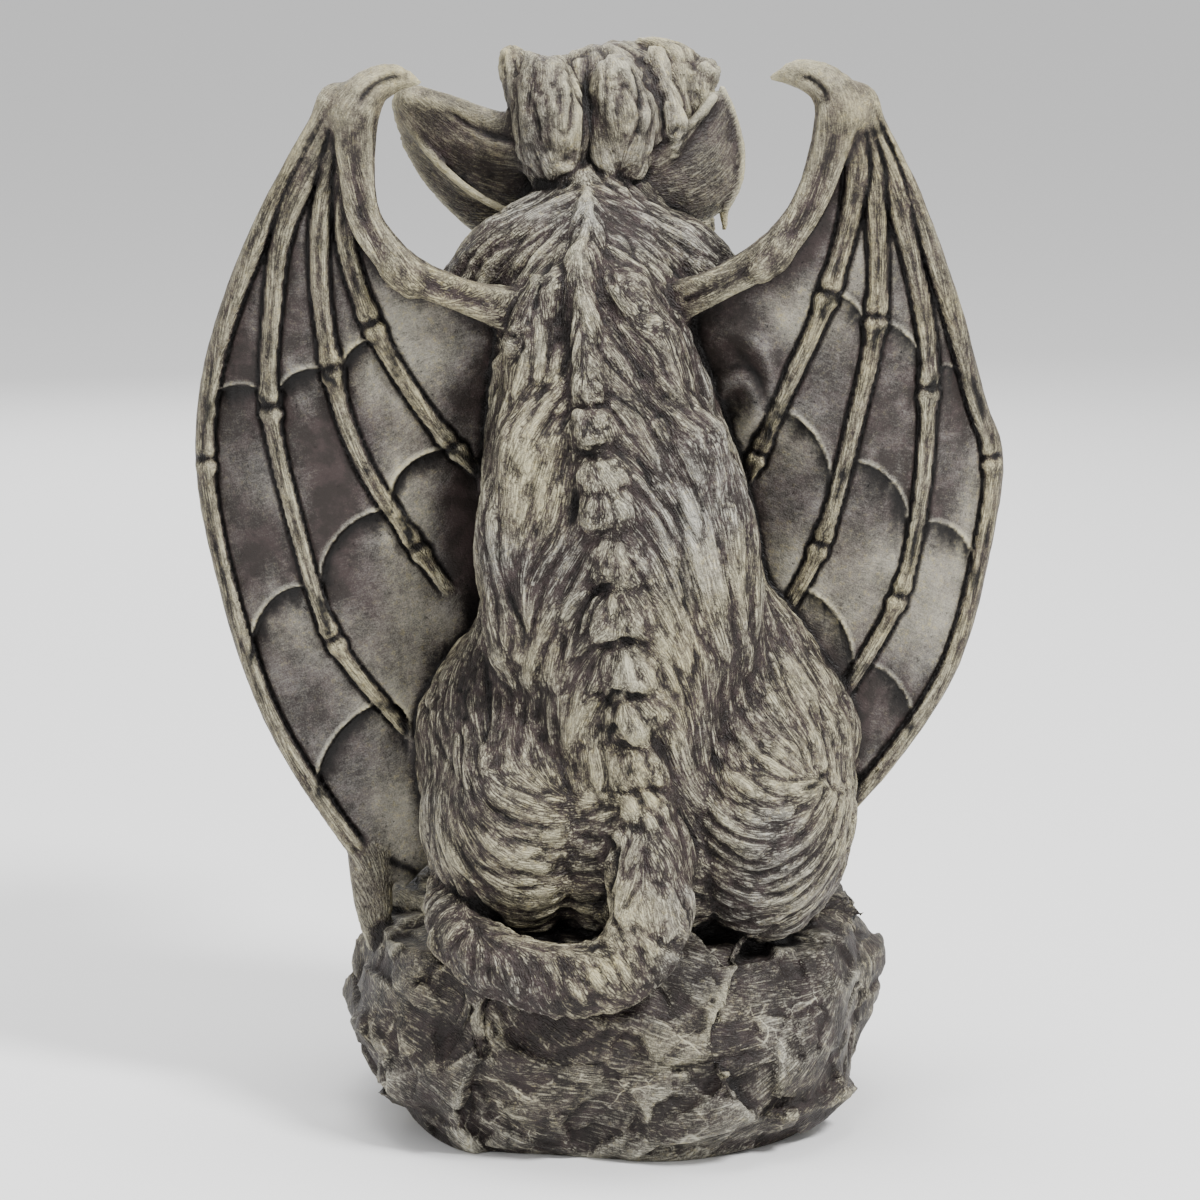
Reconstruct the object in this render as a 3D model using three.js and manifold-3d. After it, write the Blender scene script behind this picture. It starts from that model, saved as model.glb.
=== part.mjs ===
// A winged gargoyle squatting on a rough rock, cast in one piece with the rock.
// Millimetres, +Z up. The origin is the centre of the rock's flat underside, the face
// looks towards -Y and the spine towards +Y, so the creature's left side is at +X.
import * as THREE from "three";
import { mergeVertices } from "three/addons/utils/BufferGeometryUtils.js";
import Module from "manifold-3d";

const wasm = await Module();
wasm.setup();

// Driving sizes
const HEIGHT = 508; // underside of the rock to the top of the horns
const WING_MID = 115; // distance out from the middle plane to the crown of each wing shell
const WING_HALF = 70; // from that crown to either edge of the shell
const WING_CROWN_Y = 38; // how far back the crown stands at mid height
const WING_DROP = 28; // how far the edges curl forward of the crown
const WING_LEAN = 14; // extra distance back per WING_RISE of height
const WING_RISE = 180;
const MEMBRANE = 7; // thickness of the wing web
const HEAD_TURN = THREE.MathUtils.degToRad(-33); // the head looks towards the creature's right
const HEAD_AT = [-4, -26, 464]; // centre of the skull
const ROCK_X = -5; // the rock's middle

const vec = (x, y, z) => new THREE.Vector3(x, y, z);

// A closed skin of rings, pole to pole: place(row, angle) gives the point of each ring's corner.
function ringed(rows, around, place) {
  const skin = new THREE.SphereGeometry(1, around, rows);
  const points = skin.getAttribute("position");
  for (let row = 0; row <= rows; row++) {
    for (let side = 0; side <= around; side++) {
      const corner = place(row, (2 * Math.PI * (side % around)) / around);
      points.setXYZ(row * (around + 1) + side, corner.x, corner.y, corner.z);
    }
  }
  return skin;
}

// A round-ended limb along a smooth curve. Stations are [x, y, z, radius]. The section is an
// ellipse, `thin` times its radius along `face`, and `cup` bends its two sides towards -face.
// `caps` is how many rings round off each end: 1 gives a plain point.
function limb(stations, { around = 8, caps = 2, thin = 1, face = null, cup = 0 } = {}) {
  const centres = stations.map(([x, y, z]) => vec(x, y, z));
  const curve = new THREE.CatmullRomCurve3(centres, false, "centripetal");
  const last = stations.length - 1;
  const chord = centres[last].clone().sub(centres[0]).normalize();
  const facing = face ?? (Math.abs(chord.y) > 0.7 ? vec(0, 0, 1) : vec(0, 1, 0));
  const rows = last + 2 * caps;
  const radiusAt = (t) => {
    const index = Math.min(Math.floor(t * last), last - 1);
    return THREE.MathUtils.lerp(stations[index][3], stations[index + 1][3], t * last - index);
  };
  return ringed(rows, around, (row, angle) => {
    const fromEnd = Math.max(caps - row, row - (last + caps), 0) / caps;
    const t = THREE.MathUtils.clamp(1 - (row - caps) / last, 0, 1);
    const along = curve.getTangent(t);
    const out = facing.clone().addScaledVector(along, -facing.dot(along)).normalize();
    const across = along.clone().cross(out);
    const radius = radiusAt(t);
    const ring = radius * Math.cos((fromEnd * Math.PI) / 2);
    const side = ring < 1e-9 ? 0 : -Math.cos(angle) * ring;
    const depth = ring < 1e-9 ? 0 : Math.sin(angle) * ring * thin;
    const reach = radius * Math.sin((fromEnd * Math.PI) / 2) * (row < caps ? 1 : -1);
    return curve
      .getPoint(t)
      .addScaledVector(along, reach)
      .addScaledVector(across, side)
      .addScaledVector(out, depth - (cup * side * side) / (radius * radius));
  });
}

// An egg shape with three half-sizes, turned about X.
function egg([x, y, z], [rx, ry, rz], { around = 8, rows = 6, tiltX = 0 } = {}) {
  return new THREE.SphereGeometry(1, around, rows)
    .rotateX(Math.PI / 2)
    .scale(rx, ry, rz)
    .rotateX(tiltX)
    .translate(x, y, z);
}

// Linear interpolation in a table of [key, value] rows with rising keys.
function lookUp(table, key) {
  const next = table.findIndex(([k]) => k >= key);
  if (next < 0) return table[table.length - 1][1];
  if (next === 0) return table[0][1];
  const [k0, v0] = table[next - 1];
  const [k1, v1] = table[next];
  return THREE.MathUtils.lerp(v0, v1, (key - k0) / (k1 - k0));
}

// Rock: rings of a squarish, lumpy outline that is undercut towards a flat foot.
const ROCK_RINGS = [
  // height, reach to the left (+X), to the right (-X), to the back (+Y), to the front (-Y)
  [106, 40, 40, 40, 40],
  [104, 100, 97, 84, 88],
  [96, 118, 113, 100, 104],
  [76, 126, 131, 110, 114],
  [50, 132, 133, 116, 116],
  [24, 117, 121, 108, 104],
  [0, 90, 88, 92, 88],
];
const ROCK_SQUARE = 2.5; // exponent of the outline: 2 would be an ellipse
const rockLump = (angle, z) =>
  1 + 0.025 * Math.sin(3 * angle + 0.05 * z) + 0.02 * Math.sin(7 * angle + 1.3 - 0.06 * z);

function rock() {
  const rows = ROCK_RINGS.length + 1;
  return ringed(rows, 26, (row, angle) => {
    if (row === 0) return vec(ROCK_X, 0, ROCK_RINGS[0][0]);
    if (row === rows) return vec(ROCK_X, 0, 0);
    const [z, left, right, back, front] = ROCK_RINGS[row - 1];
    const [c, s] = [Math.cos(angle), Math.sin(angle)];
    const [a, b] = [c > 0 ? left : right, s > 0 ? back : front];
    const reach = (Math.abs(c / a) ** ROCK_SQUARE + Math.abs(s / b) ** ROCK_SQUARE) ** (-1 / ROCK_SQUARE);
    const radius = reach * rockLump(angle, z);
    return vec(ROCK_X + radius * c, radius * s, z);
  });
}

// Trunk: one tapering column from the pelvis to the nape, with chest, belly and shoulders.
function trunk() {
  const column = [
    [-18, 44, 150, 60],
    [-14, 40, 205, 61],
    [-11, 36, 262, 65],
    [-5, 35, 310, 59],
    [0, 30, 350, 51],
    [3, 22, 385, 47],
    [4, 6, 418, 42],
    [1, -14, 446, 33],
  ];
  const front = [
    [0, -6, 365, 36],
    [-3, -10, 325, 45],
    [-8, -8, 280, 43],
    [-11, -6, 235, 47],
    [-12, 4, 190, 40],
  ];
  return [
    limb(column, { around: 12 }),
    limb(front),
    limb([[6, 12, 422, 30], [36, 12, 406, 28], [56, 8, 386, 24]], { around: 7 }), // left shoulder
    limb([[0, 12, 420, 30], [-30, 12, 407, 27], [-50, 8, 386, 24]], { around: 7 }), // right shoulder
  ];
}

// The spine shows as a ridge on the shoulders and as knobs below: [x, y, z, half-width].
const RIDGE = [
  [6, 52, 432, 6],
  [7.5, 70, 394, 7],
  [5, 81, 357, 8],
];
const KNOBS = [
  [2, 88, 336, 11],
  [-4, 95, 305, 12],
  [-9, 98, 280, 13],
  [-9.5, 99, 256, 13],
  [-12, 99, 230, 12],
  [-15, 99, 208, 11],
  [-18, 100, 184, 10],
  [-20, 104, 165, 10],
];

function spine() {
  const knobs = KNOBS.map(([x, y, z, half]) =>
    egg([x, y, z], [half, 7, half * 1.1], { around: 6, rows: 3, tiltX: 0.25 }),
  );
  const locks = KNOBS.slice(0, 6).flatMap(([x, y, z, half]) =>
    [1, -1].map((side) =>
      limb(
        [
          [x + side * half * 0.6, y - 1, z, 5],
          [x + side * half * 2.1, y - 7, z - half * 2.1, 3],
        ],
        { around: 4, caps: 1 },
      ),
    ),
  );
  return [limb(RIDGE, { around: 4, caps: 1 }), ...knobs, ...locks];
}

// One leg from haunch to claws. x is the haunch's middle and out is +1 on the left, -1 on the right.
function leg(x, out, footX) {
  const toes = [-1, 0, 1].map((spread) => {
    const toe = footX + spread * 14;
    return limb(
      [
        [footX + spread * 8, -72, 108, 9],
        [toe, -96, 106, 8.5],
        [toe + spread, -108, 87, 2],
      ],
      { around: 5, caps: 1, face: vec(1, 0, 0) },
    );
  });
  const kneeX = x + out * 36;
  const shin = [
    [kneeX, -58, 196, 25],
    [footX + out * 7, -44, 152, 23],
    [footX, -46, 118, 17],
  ];
  const sole = [
    [footX, -42, 112, 16],
    [footX, -74, 107, 13],
  ];
  return [
    egg([x, 47, 156], [45, 58, 61], { around: 12, rows: 8 }), // haunch
    limb([[x - out * 14, 36, 228, 36], [x + out * 2, 34, 190, 46]]), // hip
    limb([[x, 28, 166, 44], [x + out * 22, -18, 184, 38], [kneeX, -58, 198, 27]]), // thigh
    limb(shin, { around: 7 }),
    limb(sole, { around: 6, caps: 1, thin: 0.8, face: vec(0, 0, 1) }),
    ...toes,
  ];
}

// One arm from the shoulder to the claws that grip the rock's front edge.
function arm(shoulder, elbow, handX) {
  const fingers = [-1, 0, 1].map((spread) =>
    limb(
      [
        [handX + spread * 8, -94, 118, 7],
        [handX + spread * 13, -112, 109, 6.5],
        [handX + spread * 14, -118, 86, 2],
      ],
      { around: 5, caps: 1, face: vec(1, 0, 0) },
    ),
  );
  const middle = [(elbow[0] + handX) / 2 + 2, -74, 205, 16];
  return [
    limb([[...shoulder, 25], [...elbow, 18]], { around: 7 }),
    limb([[...elbow, 19], middle, [handX, -86, 150, 12], [handX, -92, 124, 12]], { around: 6 }),
    egg([handX, -96, 117], [17, 16, 9], { around: 6, rows: 3 }),
    ...fingers,
  ];
}

// Tail: from the seat down onto the rock and round the left haunch.
function tail() {
  return limb(
    [
      [-19, 86, 168, 21],
      [-22, 101, 140, 20],
      [-22, 112, 115, 18],
      [-9, 118, 98, 17],
      [18, 116, 92, 16.5],
      [50, 104, 98, 15],
      [72, 80, 112, 12],
      [82, 50, 120, 10],
      [92, 16, 116, 6],
      [97, -6, 108, 2],
    ],
  );
}

// Head, in its own frame: origin at the skull's middle, muzzle towards -Y.
function head() {
  const tooth = (stations) => limb(stations, { around: 4, caps: 1, face: vec(1, 0, 0) });
  const brow = (stations) => limb(stations, { around: 5, caps: 1 });
  const jaw = [
    [0, -18, -38, 23],
    [0, -50, -49, 17],
    [0, -76, -50, 11],
  ];
  const paired = [1, -1].flatMap((side) => [
    egg([side * 16, 20, 5], [17, 19, 36]), // lobe of the nape
    egg([side * 29, -14, -24], [13, 22, 22], { around: 7, rows: 4 }), // cheek
    brow([[side * 5, -54, 18, 7], [side * 18, -52, 26, 8], [side * 31, -38, 26, 6]]),
    egg([side * 17, -48, 9], [7.5, 7.5, 7], { around: 6, rows: 4 }), // eye
    egg([side * 8, -91, -9], [6.5, 7, 6], { around: 5, rows: 3 }), // nostril
    tooth([[side * 12, -76, -16, 5.5], [side * 14, -82, -50, 1.2]]), // upper fang
    tooth([[side * 12, -56, -47, 5.5], [side * 19, -60, -22, 1.2]]), // lower tusk
  ]);
  return [
    egg([0, -4, 5], [33, 36, 36], { around: 10, rows: 7 }), // skull
    egg([0, -38, 24], [30, 20, 20], { around: 8, rows: 5 }), // forehead
    limb([[0, -36, -2, 27], [0, -66, -10, 20], [0, -86, -13, 14]]), // muzzle
    limb(jaw, { around: 7, thin: 0.75, face: vec(0, 0, 1) }),
    ...paired,
  ];
}

// Horns and ears differ on the two sides, and are given in the part's own frame.
function hornsAndEars() {
  const horn = (stations) => limb(stations, { around: 6, caps: 1 });
  const ear = (stations, face, cup) => limb(stations, { thin: 0.23, caps: 1, face, cup });
  const leftEar = [
    [32, -12, 442, 22],
    [52, -12, 447, 26],
    [66, -12, 456, 23],
    [81, -10, 466, 18],
    [89, -8, 476, 11],
  ];
  const rightEar = [
    [-24, -8, 447, 17],
    [-42, -10, 448, 26],
    [-56, -15, 455, 28],
    [-60, -20, 466, 19],
  ];
  return [
    horn([[26, -20, 478, 14], [34, -20, 493, 11], [38, -20, 501, 7]]),
    horn([[-24, -18, 476, 12], [-25, -19, 490, 8], [-26, -20, HEIGHT - 6, 4.5]]),
    ear(leftEar, vec(0.1, 1, -0.25), 6),
    ear(rightEar, vec(-0.45, 0.85, 0), 7),
  ];
}

// Wings. Every point is [out, z]: its distance out from the middle plane, and its height.
const WINGS = {
  left: {
    side: 1,
    fingers: [
      [[125, 487], [160, 425], [183, 363], [189, 317], [180, 260], [158, 194], [116, 128]],
      [[114, 482], [143, 429], [150, 388], [152, 344], [140, 286], [124, 235], [89, 188]],
      [[112, 481], [127, 428], [123, 363], [110, 320], [85, 278], [68, 252]],
      [[110, 479], [116, 428], [104, 384], [83, 346], [68, 325], [56, 311]],
    ],
    knuckles: [[344, 235], [363, 278], [384, 325]],
    arm: [[37, 386], [86, 405], [107, 431], [111, 460], [112, 481]],
    hook: [[112, 480], [103, 490], [92, 493], [83, 490]],
    inner: [
      [112, 483], [104, 430], [84, 402], [48, 386], [42, 350],
      [48, 311], [50, 252], [62, 188], [68, 140], [92, 112],
    ],
    // finger on the outer side, height there, height on the next finger in, height of the crown
    arches: [
      [0, 336, 341, 353], [0, 222, 239, 258], [0, 160, 188, 200],
      [1, 345, 351, 362], [1, 262, 280, 294], [2, 358, 362, 376], [2, 302, 311, 323],
    ],
    tip: [[109, 128], [107, 104], [106, 86]],
  },
  right: {
    side: -1,
    fingers: [
      [
        [123, 487], [146, 442], [165, 392], [180, 342], [188, 319],
        [183, 271], [167, 216], [138, 173], [113, 143],
      ],
      [[114, 485], [132, 447], [150, 376], [151, 353], [149, 306], [139, 255], [109, 201]],
      [[110, 485], [122, 456], [126, 387], [117, 338], [102, 280], [83, 241]],
      [[108, 484], [116, 456], [104, 398], [85, 352], [73, 322], [66, 304]],
    ],
    knuckles: [[353, 255], [387, 280], [398, 322]],
    arm: [[24, 386], [75, 414], [87, 427], [101, 453], [109, 483]],
    hook: [[110, 482], [101, 493], [90, 496], [78, 493]],
    inner: [
      [108, 487], [94, 446], [72, 412], [40, 386], [42, 350],
      [58, 304], [74, 241], [88, 190], [98, 150], [112, 136],
    ],
    arches: [
      [0, 340, 352, 361], [0, 258, 271, 288], [0, 190, 207, 221],
      [1, 360, 373, 381], [1, 288, 304, 317], [1, 222, 243, 255],
      [2, 378, 386, 396], [2, 308, 330, 339],
    ],
    tip: [[106, 150], [100, 122], [98, 96]],
  },
};
const FINGER = 5; // radius of a finger bone near the wrist
const KNUCKLE = 6.5; // and at a joint
const ARM_RADII = [14, 10.5, 9, 9.5, 12];
const ARM_STAND_OFF = [14, 12, 8, 6, 5]; // how far each station stands off the web
const HOOK_RADII = [13, 9.5, 7, 1.5];
const TIP_RADII = [10, 9, 5];

// The wing shell's middle surface: a cupped sheet, pushed back where it meets the shoulder.
function wingDepth(out, z) {
  const curl = WING_DROP * ((out - WING_MID) / WING_HALF) ** 2;
  const root = 20 * Math.exp(-((out - 40) ** 2 + (z - 384) ** 2) / (2 * 34 ** 2));
  return WING_CROWN_Y + (WING_LEAN * (z - 300)) / WING_RISE - curl + root;
}

// A finger's distance out at a height, from its own points.
const outAt = (finger, z) => lookUp([...finger].reverse().map(([out, height]) => [height, out]), z);

const onWing = (side, out, z, proud, radius) => [side * out, wingDepth(out, z) + proud, z, radius];

// Section of the web: fraction of the way from the leading edge to the inner edge, and how far
// that corner stands off the middle surface. The thick part is the leading finger's bone.
const HALF_WEB = MEMBRANE / 2;
const WEB_SECTION = [
  [0, 0],
  [0.05, 2 * HALF_WEB],
  [0.12, HALF_WEB],
  [0.5, HALF_WEB],
  [1, HALF_WEB],
  [1, -HALF_WEB],
  [0.5, -HALF_WEB],
  [0.12, -HALF_WEB],
  [0.05, -1.6 * HALF_WEB],
];

// The web between the leading edge and the inner edge, as one skin.
function web({ side, fingers, inner }) {
  const smooth = (points) =>
    new THREE.CatmullRomCurve3(points.map(([out, z]) => vec(out, 0, z)), false, "centripetal");
  const [outerEdge, innerEdge] = [smooth([...fingers[0], inner[inner.length - 1]]), smooth(inner)];
  const around = WEB_SECTION.length;
  const rows = 10;
  return ringed(rows, around, (row, angle) => {
    const pole = row % rows === 0;
    const [across, proud] = pole ? [0, 0] : WEB_SECTION[Math.round((angle / (2 * Math.PI)) * around)];
    const point = outerEdge.getPointAt(row / rows).lerp(innerEdge.getPointAt(row / rows), across);
    return vec(side * point.x, wingDepth(point.x, point.z) + proud, point.z);
  });
}

// A finger bone: thinner towards its tip, and swollen at each knuckle's height.
function fingerBone(side, finger, joints) {
  const shaft = finger.map(([out, z], step) => [out, z, FINGER * (1 - 0.4 * (step / (finger.length - 1)))]);
  const swollen = joints.map((z) => [outAt(finger, z), z, KNUCKLE]);
  const clear = shaft.filter(([, z]) => joints.every((joint) => Math.abs(z - joint) > 2 * KNUCKLE));
  const stations = [...clear, ...swollen].sort((a, b) => b[1] - a[1]);
  return limb(
    stations.map(([out, z, size]) => onWing(side, out, z, HALF_WEB, size)),
    { around: 4, caps: 1 },
  );
}

// The raised rim of a fold of skin: a bow from one finger up and over to the next finger in.
function arch(side, outer, inner, lowZ, highZ, crown) {
  const from = vec(outAt(outer, lowZ) - 3, 0, lowZ);
  const to = vec(outAt(inner, highZ), 0, highZ);
  const handle = vec(0, 0, ((crown - (lowZ + highZ) / 2) * 4) / 3);
  const bow = new THREE.CubicBezierCurve3(from, from.clone().add(handle), to.clone().add(handle), to);
  const stations = bow.getPoints(3).map(({ x, z }) => onWing(side, x, z, HALF_WEB, 3));
  return limb(stations, { around: 4, caps: 1 });
}

function wing(plan) {
  const { side, fingers, knuckles, arm: bones, hook, arches, tip } = plan;
  const parts = [web(plan)];
  fingers.slice(1).forEach((finger, index) => parts.push(fingerBone(side, finger, knuckles[index])));
  arches.forEach(([outer, lowZ, highZ, crown]) =>
    parts.push(arch(side, fingers[outer], fingers[outer + 1], lowZ, highZ, crown)),
  );
  const along = (points, proud, radii) =>
    points.map(([out, z], step) => onWing(side, out, z, proud[step] ?? proud[0], radii[step]));
  const [elbowOut, elbowZ] = bones[1];
  const elbow = [side * elbowOut, wingDepth(elbowOut, elbowZ) + ARM_STAND_OFF[1], elbowZ];
  parts.push(
    limb(along(bones, ARM_STAND_OFF, ARM_RADII), { around: 6 }),
    egg(elbow, [12, 11, 12], { around: 6, rows: 4 }),
    limb(along(hook, [4], HOOK_RADII), { around: 6, caps: 1 }),
    limb(along(tip, [0], TIP_RADII), { around: 6, caps: 1, thin: 0.5 }),
  );
  return parts;
}

// A closed geometry as a solid that can be joined.
function solid(geometry) {
  const bare = geometry.clone();
  bare.deleteAttribute("normal");
  bare.deleteAttribute("uv");
  const merged = mergeVertices(bare, 1e-3);
  const made = new wasm.Manifold(
    new wasm.Mesh({
      numProp: 3,
      vertProperties: merged.getAttribute("position").array,
      triVerts: new Uint32Array(merged.index.array),
    }),
  );
  if (made.volume() > 0) return made;
  const flipped = new Uint32Array(merged.index.array);
  for (let i = 0; i < flipped.length; i += 3) {
    [flipped[i + 1], flipped[i + 2]] = [flipped[i + 2], flipped[i + 1]];
  }
  return new wasm.Manifold(
    new wasm.Mesh({ numProp: 3, vertProperties: merged.getAttribute("position").array, triVerts: flipped }),
  );
}

const turned = head().map((piece) => piece.rotateZ(HEAD_TURN).translate(...HEAD_AT));
const pieces = [
  rock(),
  ...trunk(),
  ...spine(),
  ...leg(38, 1, 62),
  ...leg(-73, -1, -92),
  ...arm([50, 0, 376], [60, -42, 284], 20),
  ...arm([-44, 0, 380], [-66, -42, 284], -44),
  tail(),
  ...turned,
  ...hornsAndEars(),
  ...wing(WINGS.left),
  ...wing(WINGS.right),
];
const joined = pieces.map(solid).reduce((whole, piece) => whole.add(piece));

const { vertProperties, triVerts } = joined.getMesh();
const geometry = new THREE.BufferGeometry();
geometry.setAttribute("position", new THREE.BufferAttribute(vertProperties, 3));
geometry.setIndex(new THREE.BufferAttribute(triVerts, 1));
geometry.computeVertexNormals();

const castStone = new THREE.MeshStandardMaterial({ color: 0x6e6a5c, roughness: 0.55, metalness: 0 });
const gargoyle = new THREE.Mesh(geometry, castStone);
gargoyle.name = "gargoyle";

const statue = new THREE.Group();
statue.add(gargoyle);

export default statue;
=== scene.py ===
# A winged stone gargoyle on its rock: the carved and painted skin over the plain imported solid.
# The carving is worked out in millimetres, +Z up, face towards -Y and spine towards +Y,
# and the finished skin is in metres.
from math import ceil, cos, radians, sin

import bpy
import numpy as np
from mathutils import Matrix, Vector


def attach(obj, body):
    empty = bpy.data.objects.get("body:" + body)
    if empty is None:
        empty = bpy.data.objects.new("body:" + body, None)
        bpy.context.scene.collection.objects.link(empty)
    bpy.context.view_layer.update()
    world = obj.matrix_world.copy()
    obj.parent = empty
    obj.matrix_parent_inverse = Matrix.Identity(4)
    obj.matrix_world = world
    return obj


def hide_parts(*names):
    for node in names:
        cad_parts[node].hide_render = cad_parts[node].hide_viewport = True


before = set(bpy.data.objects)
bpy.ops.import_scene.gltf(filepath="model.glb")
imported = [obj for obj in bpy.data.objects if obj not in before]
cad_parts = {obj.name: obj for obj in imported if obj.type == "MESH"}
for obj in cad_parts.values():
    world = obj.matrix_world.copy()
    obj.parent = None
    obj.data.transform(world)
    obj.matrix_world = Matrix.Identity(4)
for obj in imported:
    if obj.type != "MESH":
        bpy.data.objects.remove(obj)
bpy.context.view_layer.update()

MM = 0.001
PITCH = 1.15  # spacing of the field's grid
MOST_TRIANGLES = 196000
FAR = 16.0  # distance held where nothing is near
LOW = np.array([-194.0, -125.0, -6.0])
HIGH = np.array([194.0, 141.0, 514.0])
ROCK, FUR, WEB, BONE, SKIN, HORN = range(6)

# The photograph's camera, which looks at the creature's back from a little above
REACH = 2100.0
TILT = radians(10)
FOCAL = 4450.0
PICTURE = 1200
MIDDLE = (600.0, 593.0)
AIM = 250.0

axes = [np.arange(LOW[i], HIGH[i], PITCH, dtype=np.float32) for i in range(3)]
COUNT = [len(axis) for axis in axes]
field = np.full(COUNT, FAR, dtype=np.float32)
owner = np.zeros(COUNT, dtype=np.uint8)

TABLE_SIDE = 64
TABLE = np.random.default_rng(11).random(TABLE_SIDE ** 3, dtype=np.float32)


# Distance fields
def window(low, high):
    """The part of the grid between two corners."""
    cuts = []
    for axis in range(3):
        first = max(0, int((low[axis] - LOW[axis]) / PITCH))
        last = min(COUNT[axis], int((high[axis] - LOW[axis]) / PITCH) + 2)
        cuts.append(slice(first, max(first, last)))
    return tuple(cuts)


def coords(cuts):
    x, y, z = (axis[cut] for axis, cut in zip(axes, cuts))
    return x[:, None, None], y[None, :, None], z[None, None, :]


def unit(vectors):
    return vectors / np.maximum(np.linalg.norm(vectors, axis=1, keepdims=True), 1e-9)


def smooth_min(a, b, blend):
    gap = np.maximum(blend - np.abs(a - b), 0.0)
    return np.minimum(a, b) - gap * gap / (4.0 * blend)


def smooth_max(a, b, blend):
    return -smooth_min(-a, -b, blend)


def join(cuts, near, blend, zone):
    """Melt a shape into the statue over `blend` millimetres."""
    old = field[cuts]
    owner[cuts] = np.where(near < old, zone, owner[cuts])
    field[cuts] = smooth_min(old, near.astype(np.float32), blend)


def carve(cuts, near, blend):
    field[cuts] = smooth_max(field[cuts], -near.astype(np.float32), blend)


def smooth_line(points, spacing, place=3):
    """A centripetal Catmull-Rom curve. Columns after the first `place` ride along with it."""
    points = np.asarray(points, dtype=float)
    ends = [2 * points[0] - points[1], *points, 2 * points[-1] - points[-2]]
    line = []
    for a, b, c, d in zip(ends, ends[1:], ends[2:], ends[3:]):
        pairs = ((a, b), (b, c), (c, d))
        lag, span, lead = (max(np.linalg.norm((q - p)[:place]), 1e-6) ** 0.5 for p, q in pairs)
        leave = ((b - a) / lag - (c - a) / (lag + span) + (c - b) / span) * span
        reach = ((c - b) / span - (d - b) / (span + lead) + (d - c) / lead) * span
        parts = max(1, ceil(np.linalg.norm((c - b)[:place]) / spacing))
        for t in np.arange(parts) / parts:
            line.append(
                (2 * t**3 - 3 * t**2 + 1) * b + (t**3 - 2 * t**2 + t) * leave
                + (3 * t**2 - 2 * t**3) * c + (t**3 - t**2) * reach
            )
    line.append(points[-1])
    return np.array(line)


def flat_distance(flat, deep, radius, thin):
    """Distance to an ellipse `thin` times as deep as it is wide."""
    inner = np.sqrt(flat / radius**2 + (deep / (radius * thin)) ** 2)
    slope = np.sqrt(flat / radius**4 + deep**2 / (radius * thin) ** 4)
    return inner * (inner - 1.0) / np.maximum(slope, 1e-6)


def limb(stations, blend=3.0, zone=FUR, thin=1.0, face=None, cup=0.0, remove=False):
    """A round limb through [x, y, z, radius] stations, or a flat one `thin` along `face`."""
    line = smooth_line(stations, 6.0)
    spread = line[:, 3:4] + abs(cup) + blend + 2 * PITCH
    cuts = window((line[:, :3] - spread).min(0), (line[:, :3] + spread).max(0))
    near = np.full([cut.stop - cut.start for cut in cuts], FAR, dtype=np.float32)
    for a, b in zip(line, line[1:]):
        wide = max(a[3], b[3]) + abs(cup) + blend + 2 * PITCH
        part = window(np.minimum(a, b)[:3] - wide, np.maximum(a, b)[:3] + wide)
        part = tuple(slice(max(p.start, c.start), min(p.stop, c.stop)) for p, c in zip(part, cuts))
        here = tuple(slice(p.start - c.start, p.stop - c.start) for p, c in zip(part, cuts))
        x, y, z = coords(part)
        run = b[:3] - a[:3]
        x, y, z = x - a[0], y - a[1], z - a[2]
        t = np.clip((x * run[0] + y * run[1] + z * run[2]) / max(run @ run, 1e-6), 0.0, 1.0)
        x, y, z = x - t * run[0], y - t * run[1], z - t * run[2]
        radius = a[3] + t * (b[3] - a[3])
        square = x * x + y * y + z * z
        if face is None:
            gap = np.sqrt(square) - radius
        else:
            deep = x * face[0] + y * face[1] + z * face[2]
            flat = np.maximum(square - deep * deep, 0.0)
            gap = flat_distance(flat, deep + cup * flat / radius**2, radius, thin)
        near[here] = np.minimum(near[here], gap)
    if remove:
        carve(cuts, near, blend)
    else:
        join(cuts, near, blend, zone)


def egg(centre, sizes, blend=4.0, zone=FUR, turn=None, remove=False):
    """An ellipsoid; `turn` holds its three directions as rows."""
    wide = max(sizes) + blend + 2 * PITCH
    reach = np.array(sizes) + blend + 2 * PITCH if turn is None else np.full(3, wide)
    cuts = window(np.array(centre) - reach, np.array(centre) + reach)
    x, y, z = coords(cuts)
    x, y, z = x - centre[0], y - centre[1], z - centre[2]
    if turn is not None:
        x, y, z = (row[0] * x + row[1] * y + row[2] * z for row in turn)
    inner = np.sqrt((x / sizes[0]) ** 2 + (y / sizes[1]) ** 2 + (z / sizes[2]) ** 2)
    slope = np.sqrt((x / sizes[0] ** 2) ** 2 + (y / sizes[1] ** 2) ** 2 + (z / sizes[2] ** 2) ** 2)
    near = inner * (inner - 1.0) / np.maximum(slope, 1e-6)
    if remove:
        carve(cuts, near, blend)
    else:
        join(cuts, near, blend, zone)


# Noise
def noise(x, y, z):
    """Smooth value noise, 0 to 1, one lattice step per unit."""
    whole, parts = [], []
    for value in (x, y, z):
        base = np.floor(value)
        part = (value - base).astype(np.float32)
        whole.append(base.astype(np.int32))
        parts.append(part * part * (3 - 2 * part))
    total = 0.0
    for i in (0, 1):
        for j in (0, 1):
            for k in (0, 1):
                a, b, c = ((w + s) & (TABLE_SIDE - 1) for w, s in zip(whole, (i, j, k)))
                share = 1.0
                for part, step in zip(parts, (i, j, k)):
                    share = share * (part if step else 1 - part)
                total = total + TABLE[(a * TABLE_SIDE + b) * TABLE_SIDE + c] * share
    return total


def fuzz(points, size, shift=0.0):
    return noise(*(points.T / size + shift))


def strands(points, flow, size, length, taps=9, shift=0.0):
    """Noise drawn out along the flow, with a mean of 0 and a spread of 1."""
    total = np.zeros(len(points), dtype=np.float32)
    for t in np.linspace(-0.5, 0.5, taps):
        total += fuzz(points + flow * (t * length), size, shift) * np.float32(cos(2.4 * t))
    return (total - total.mean()) / total.std()


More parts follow.
